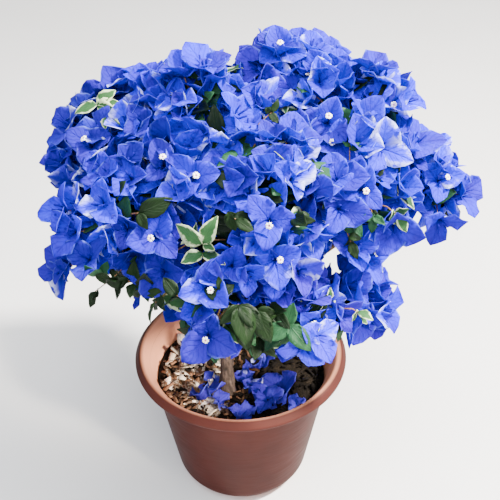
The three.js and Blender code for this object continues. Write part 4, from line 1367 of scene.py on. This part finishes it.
class BUSH_OT_foliage(bpy.types.Operator):
    """Grows twigs, blossoms and leaves in every mass"""

    bl_idname = "bush.foliage"
    bl_label = "Foliage"

    def execute(self, context):
        settings = context.scene.bush_settings
        limbs = plan_limbs()
        growth = Growth(settings)
        for index, name in enumerate(MASSES):
            growth.grow_mass(name, index, limbs)
        growth.grow_seams()
        growth.grow_seen_places()
        stops = ((0.36, "#3c2619"), (0.5, "#704c31"), (0.66, "#927650"))
        young_bark = new_material("thin_reddish_bark", bark, stops, 380.0)
        register_piece(tubes_piece("twigs", growth.twigs, 5, young_bark), "bark")
        self.join_blossoms(growth, settings)
        self.join_leaves(growth, settings)
        return {"FINISHED"}

    def join_blossoms(self, growth, settings):
        """Joins the bracts by colour, and the flower tubes and open flowers that lie on them."""
        rng = growth.rng
        masses = [f"foliage_{name}" for name in MASSES]
        tubes, flowers = [], []
        for tone, blossoms in growth.blossoms.items():
            paper = new_material(f"{tone}_bract_paper", bract_paper, tuple(getattr(settings, tone)))
            for part, (roots, axes, openness, in_flower, rolls, sizes) in in_parts(blossoms, BLOSSOMS_JOINED):
                sheets, outs = bract_sheets(roots, axes, rolls, rng, sizes, openness)
                shade = np.tile(rng.uniform(0.1, 0.9, len(roots)), 3) + rng.normal(0, 0.25, 3 * len(roots))
                middle, shade = np.concatenate(sheets), np.clip(shade, 0, 1)
                name, thickness = f"bracts_{tone}_{part}", settings.bract_thickness
                piece = sheets_piece(name, middle, thickness, paper, shade, BRACT_ROWS)
                register_piece(piece, "blossom", *masses)
                self.add_tubes(roots, axes, outs, in_flower, rng, tubes, flowers)
        tube_colour = shaded(tuple(settings.violet_blue), 0.6)
        paper = new_material("flower_tube_bract_paper", bract_paper, tube_colour, 0.0)
        register_piece(tubes_piece("flower_tubes", tubes, 4, paper), "blossom")
        self.open_flowers(flowers, rng)

    @staticmethod
    def add_tubes(roots, axes, outs, in_flower, rng, tubes, flowers):
        """One slim tube on each bract; where the blossom is in flower, the first ends in an open flower."""
        for bract, out in enumerate(outs):
            for root, axis, way, is_open in zip(roots, axes, out, in_flower):
                lean = rng.uniform(0.25, 0.5)
                ahead = axis * math.cos(lean) + way * math.sin(lean)
                length = rng.uniform(*TUBE_LENGTHS)
                middle = root + ahead * length * 0.5 + way * 0.0012
                tip = root + ahead * length + axis * 0.002
                tubes.append(((root, middle, tip), TUBE_RADII))
                if bract == 0 and is_open:
                    flowers.append((tip, ahead))

    @staticmethod
    def open_flowers(flowers, rng):
        """Five-lobed open flowers, each lobe a small notched blade."""
        roots, axes = (np.array(values)[:, None, None] for values in zip(*flowers))
        side, other = (axis[:, None, None] for axis in square_axes(axes[:, 0, 0]))
        v, u = np.linspace(0, 1, 5)[:, None], np.linspace(-1, 1, 3)
        notched = LOBE_LENGTH * v * (1 - 0.16 * (np.abs(u) < 0.5) * (v > 0.9))
        width = LOBE_HALF_WIDTH * np.array(LOBE_OUTLINE)[:, None] * u
        rise = LOBE_RISE * np.sin(math.pi * v) * np.ones_like(u)
        lobes = []
        for angle in np.arange(5) * 2 * math.pi / 5:
            out = side * math.cos(angle) + other * math.sin(angle)
            flat = out * notched[..., None] + np.cross(axes, out) * width[..., None]
            lobes.append(roots + flat + axes * rise[..., None])
        middle = np.concatenate(lobes)
        petals = new_material("cream_flower_lobes", flower_lobes)
        tones = rng.uniform(0, 1, len(middle))
        register_piece(sheets_piece("open_flowers", middle, LOBE_THICKNESS, petals, tones), "blossom")

    @staticmethod
    def join_leaves(growth, settings):
        """Joins the leaves of each kind."""
        for kind, leaves in growth.leaves.items():
            blade = new_material(f"{kind}_leaf", leaf_blade, *LEAF_KINDS[kind])
            for part, values in in_parts(leaves, LEAVES_JOINED):
                middle = leaf_sheets(*values, growth.rng)
                tones = growth.rng.uniform(0, 1, len(middle))
                name, thickness = f"leaves_{kind}_{part}", settings.leaf_thickness
                register_piece(sheets_piece(name, middle, thickness, blade, tones, LEAF_ROWS), "blossom")


class BUSH_OT_dropped(bpy.types.Operator):
    """Lays dropped blossoms on the soil"""

    bl_idname = "bush.dropped"
    bl_label = "Dropped blossoms"

    def execute(self, context):
        settings = context.scene.bush_settings
        rng = np.random.default_rng(settings.seed + 9)
        roots = np.array([on_soil(across, down) for across, down, _ in DROPPED_BRACTS])
        sizes = np.array([size for _, _, size in DROPPED_BRACTS])
        axes = unit(np.array([(rng.normal(0, 0.6), rng.normal(0, 0.6), 1.0) for _ in roots]))
        openness = rng.uniform(0.6, 1.1, len(roots))
        rolls = rng.uniform(0, 2 * math.pi, len(roots))
        sheets, _ = bract_sheets(roots, axes, rolls, rng, sizes, openness, DROPPED_CRUMPLE)
        middle = np.concatenate(sheets)
        middle[..., 2] = np.maximum(middle[..., 2], SOIL_TOP + DROPPED_LOWEST)
        paper = new_material("dropped_bract_paper", bract_paper, linear("#4e44c8"), 1.0)
        tones = rng.uniform(0.3, 1, len(middle))
        piece = sheets_piece("dropped_bracts", middle, settings.bract_thickness, paper, tones, BRACT_ROWS)
        register_piece(piece, "blossom", *[f"dropped_blossom_{i}" for i in range(1, 6)])
        return {"FINISHED"}


class BUSH_PT_panel(bpy.types.Panel):
    """Buttons for every part of the bush"""

    bl_label = "Bougainvillea"
    bl_idname = "BUSH_PT_panel"
    bl_space_type = "VIEW_3D"
    bl_region_type = "UI"
    bl_category = "Bougainvillea"

    def draw(self, context):
        for settings in (context.scene.bush_settings, context.scene.pot_settings):
            for name in settings.__annotations__:
                self.layout.prop(settings, name)
        for operator in OPERATORS:
            self.layout.operator(operator.bl_idname)


OPERATORS = (
    BUSH_OT_camera,
    BUSH_OT_stage,
    BUSH_OT_pot,
    BUSH_OT_soil,
    BUSH_OT_limbs,
    BUSH_OT_foliage,
    BUSH_OT_dropped,
)
CLASSES = (BushSettings, PotSettings, *OPERATORS, BUSH_PT_panel)


def register():
    """Registers the classes and hangs the settings on the scene."""
    for cls in CLASSES:
        bpy.utils.register_class(cls)
    bpy.types.Scene.bush_settings = bpy.props.PointerProperty(type=BushSettings)
    bpy.types.Scene.pot_settings = bpy.props.PointerProperty(type=PotSettings)


def unregister():
    """Takes the settings and the classes away again."""
    del bpy.types.Scene.pot_settings
    del bpy.types.Scene.bush_settings
    for cls in reversed(CLASSES):
        bpy.utils.unregister_class(cls)


def main():
    """Registers the add-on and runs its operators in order."""
    register()
    for operator in OPERATORS:
        group, name = operator.bl_idname.split(".")
        result = getattr(getattr(bpy.ops, group), name)()
        if result != {"FINISHED"}:
            raise RuntimeError(f"{operator.bl_idname} did not finish")


if __name__ == "__main__":
    main()
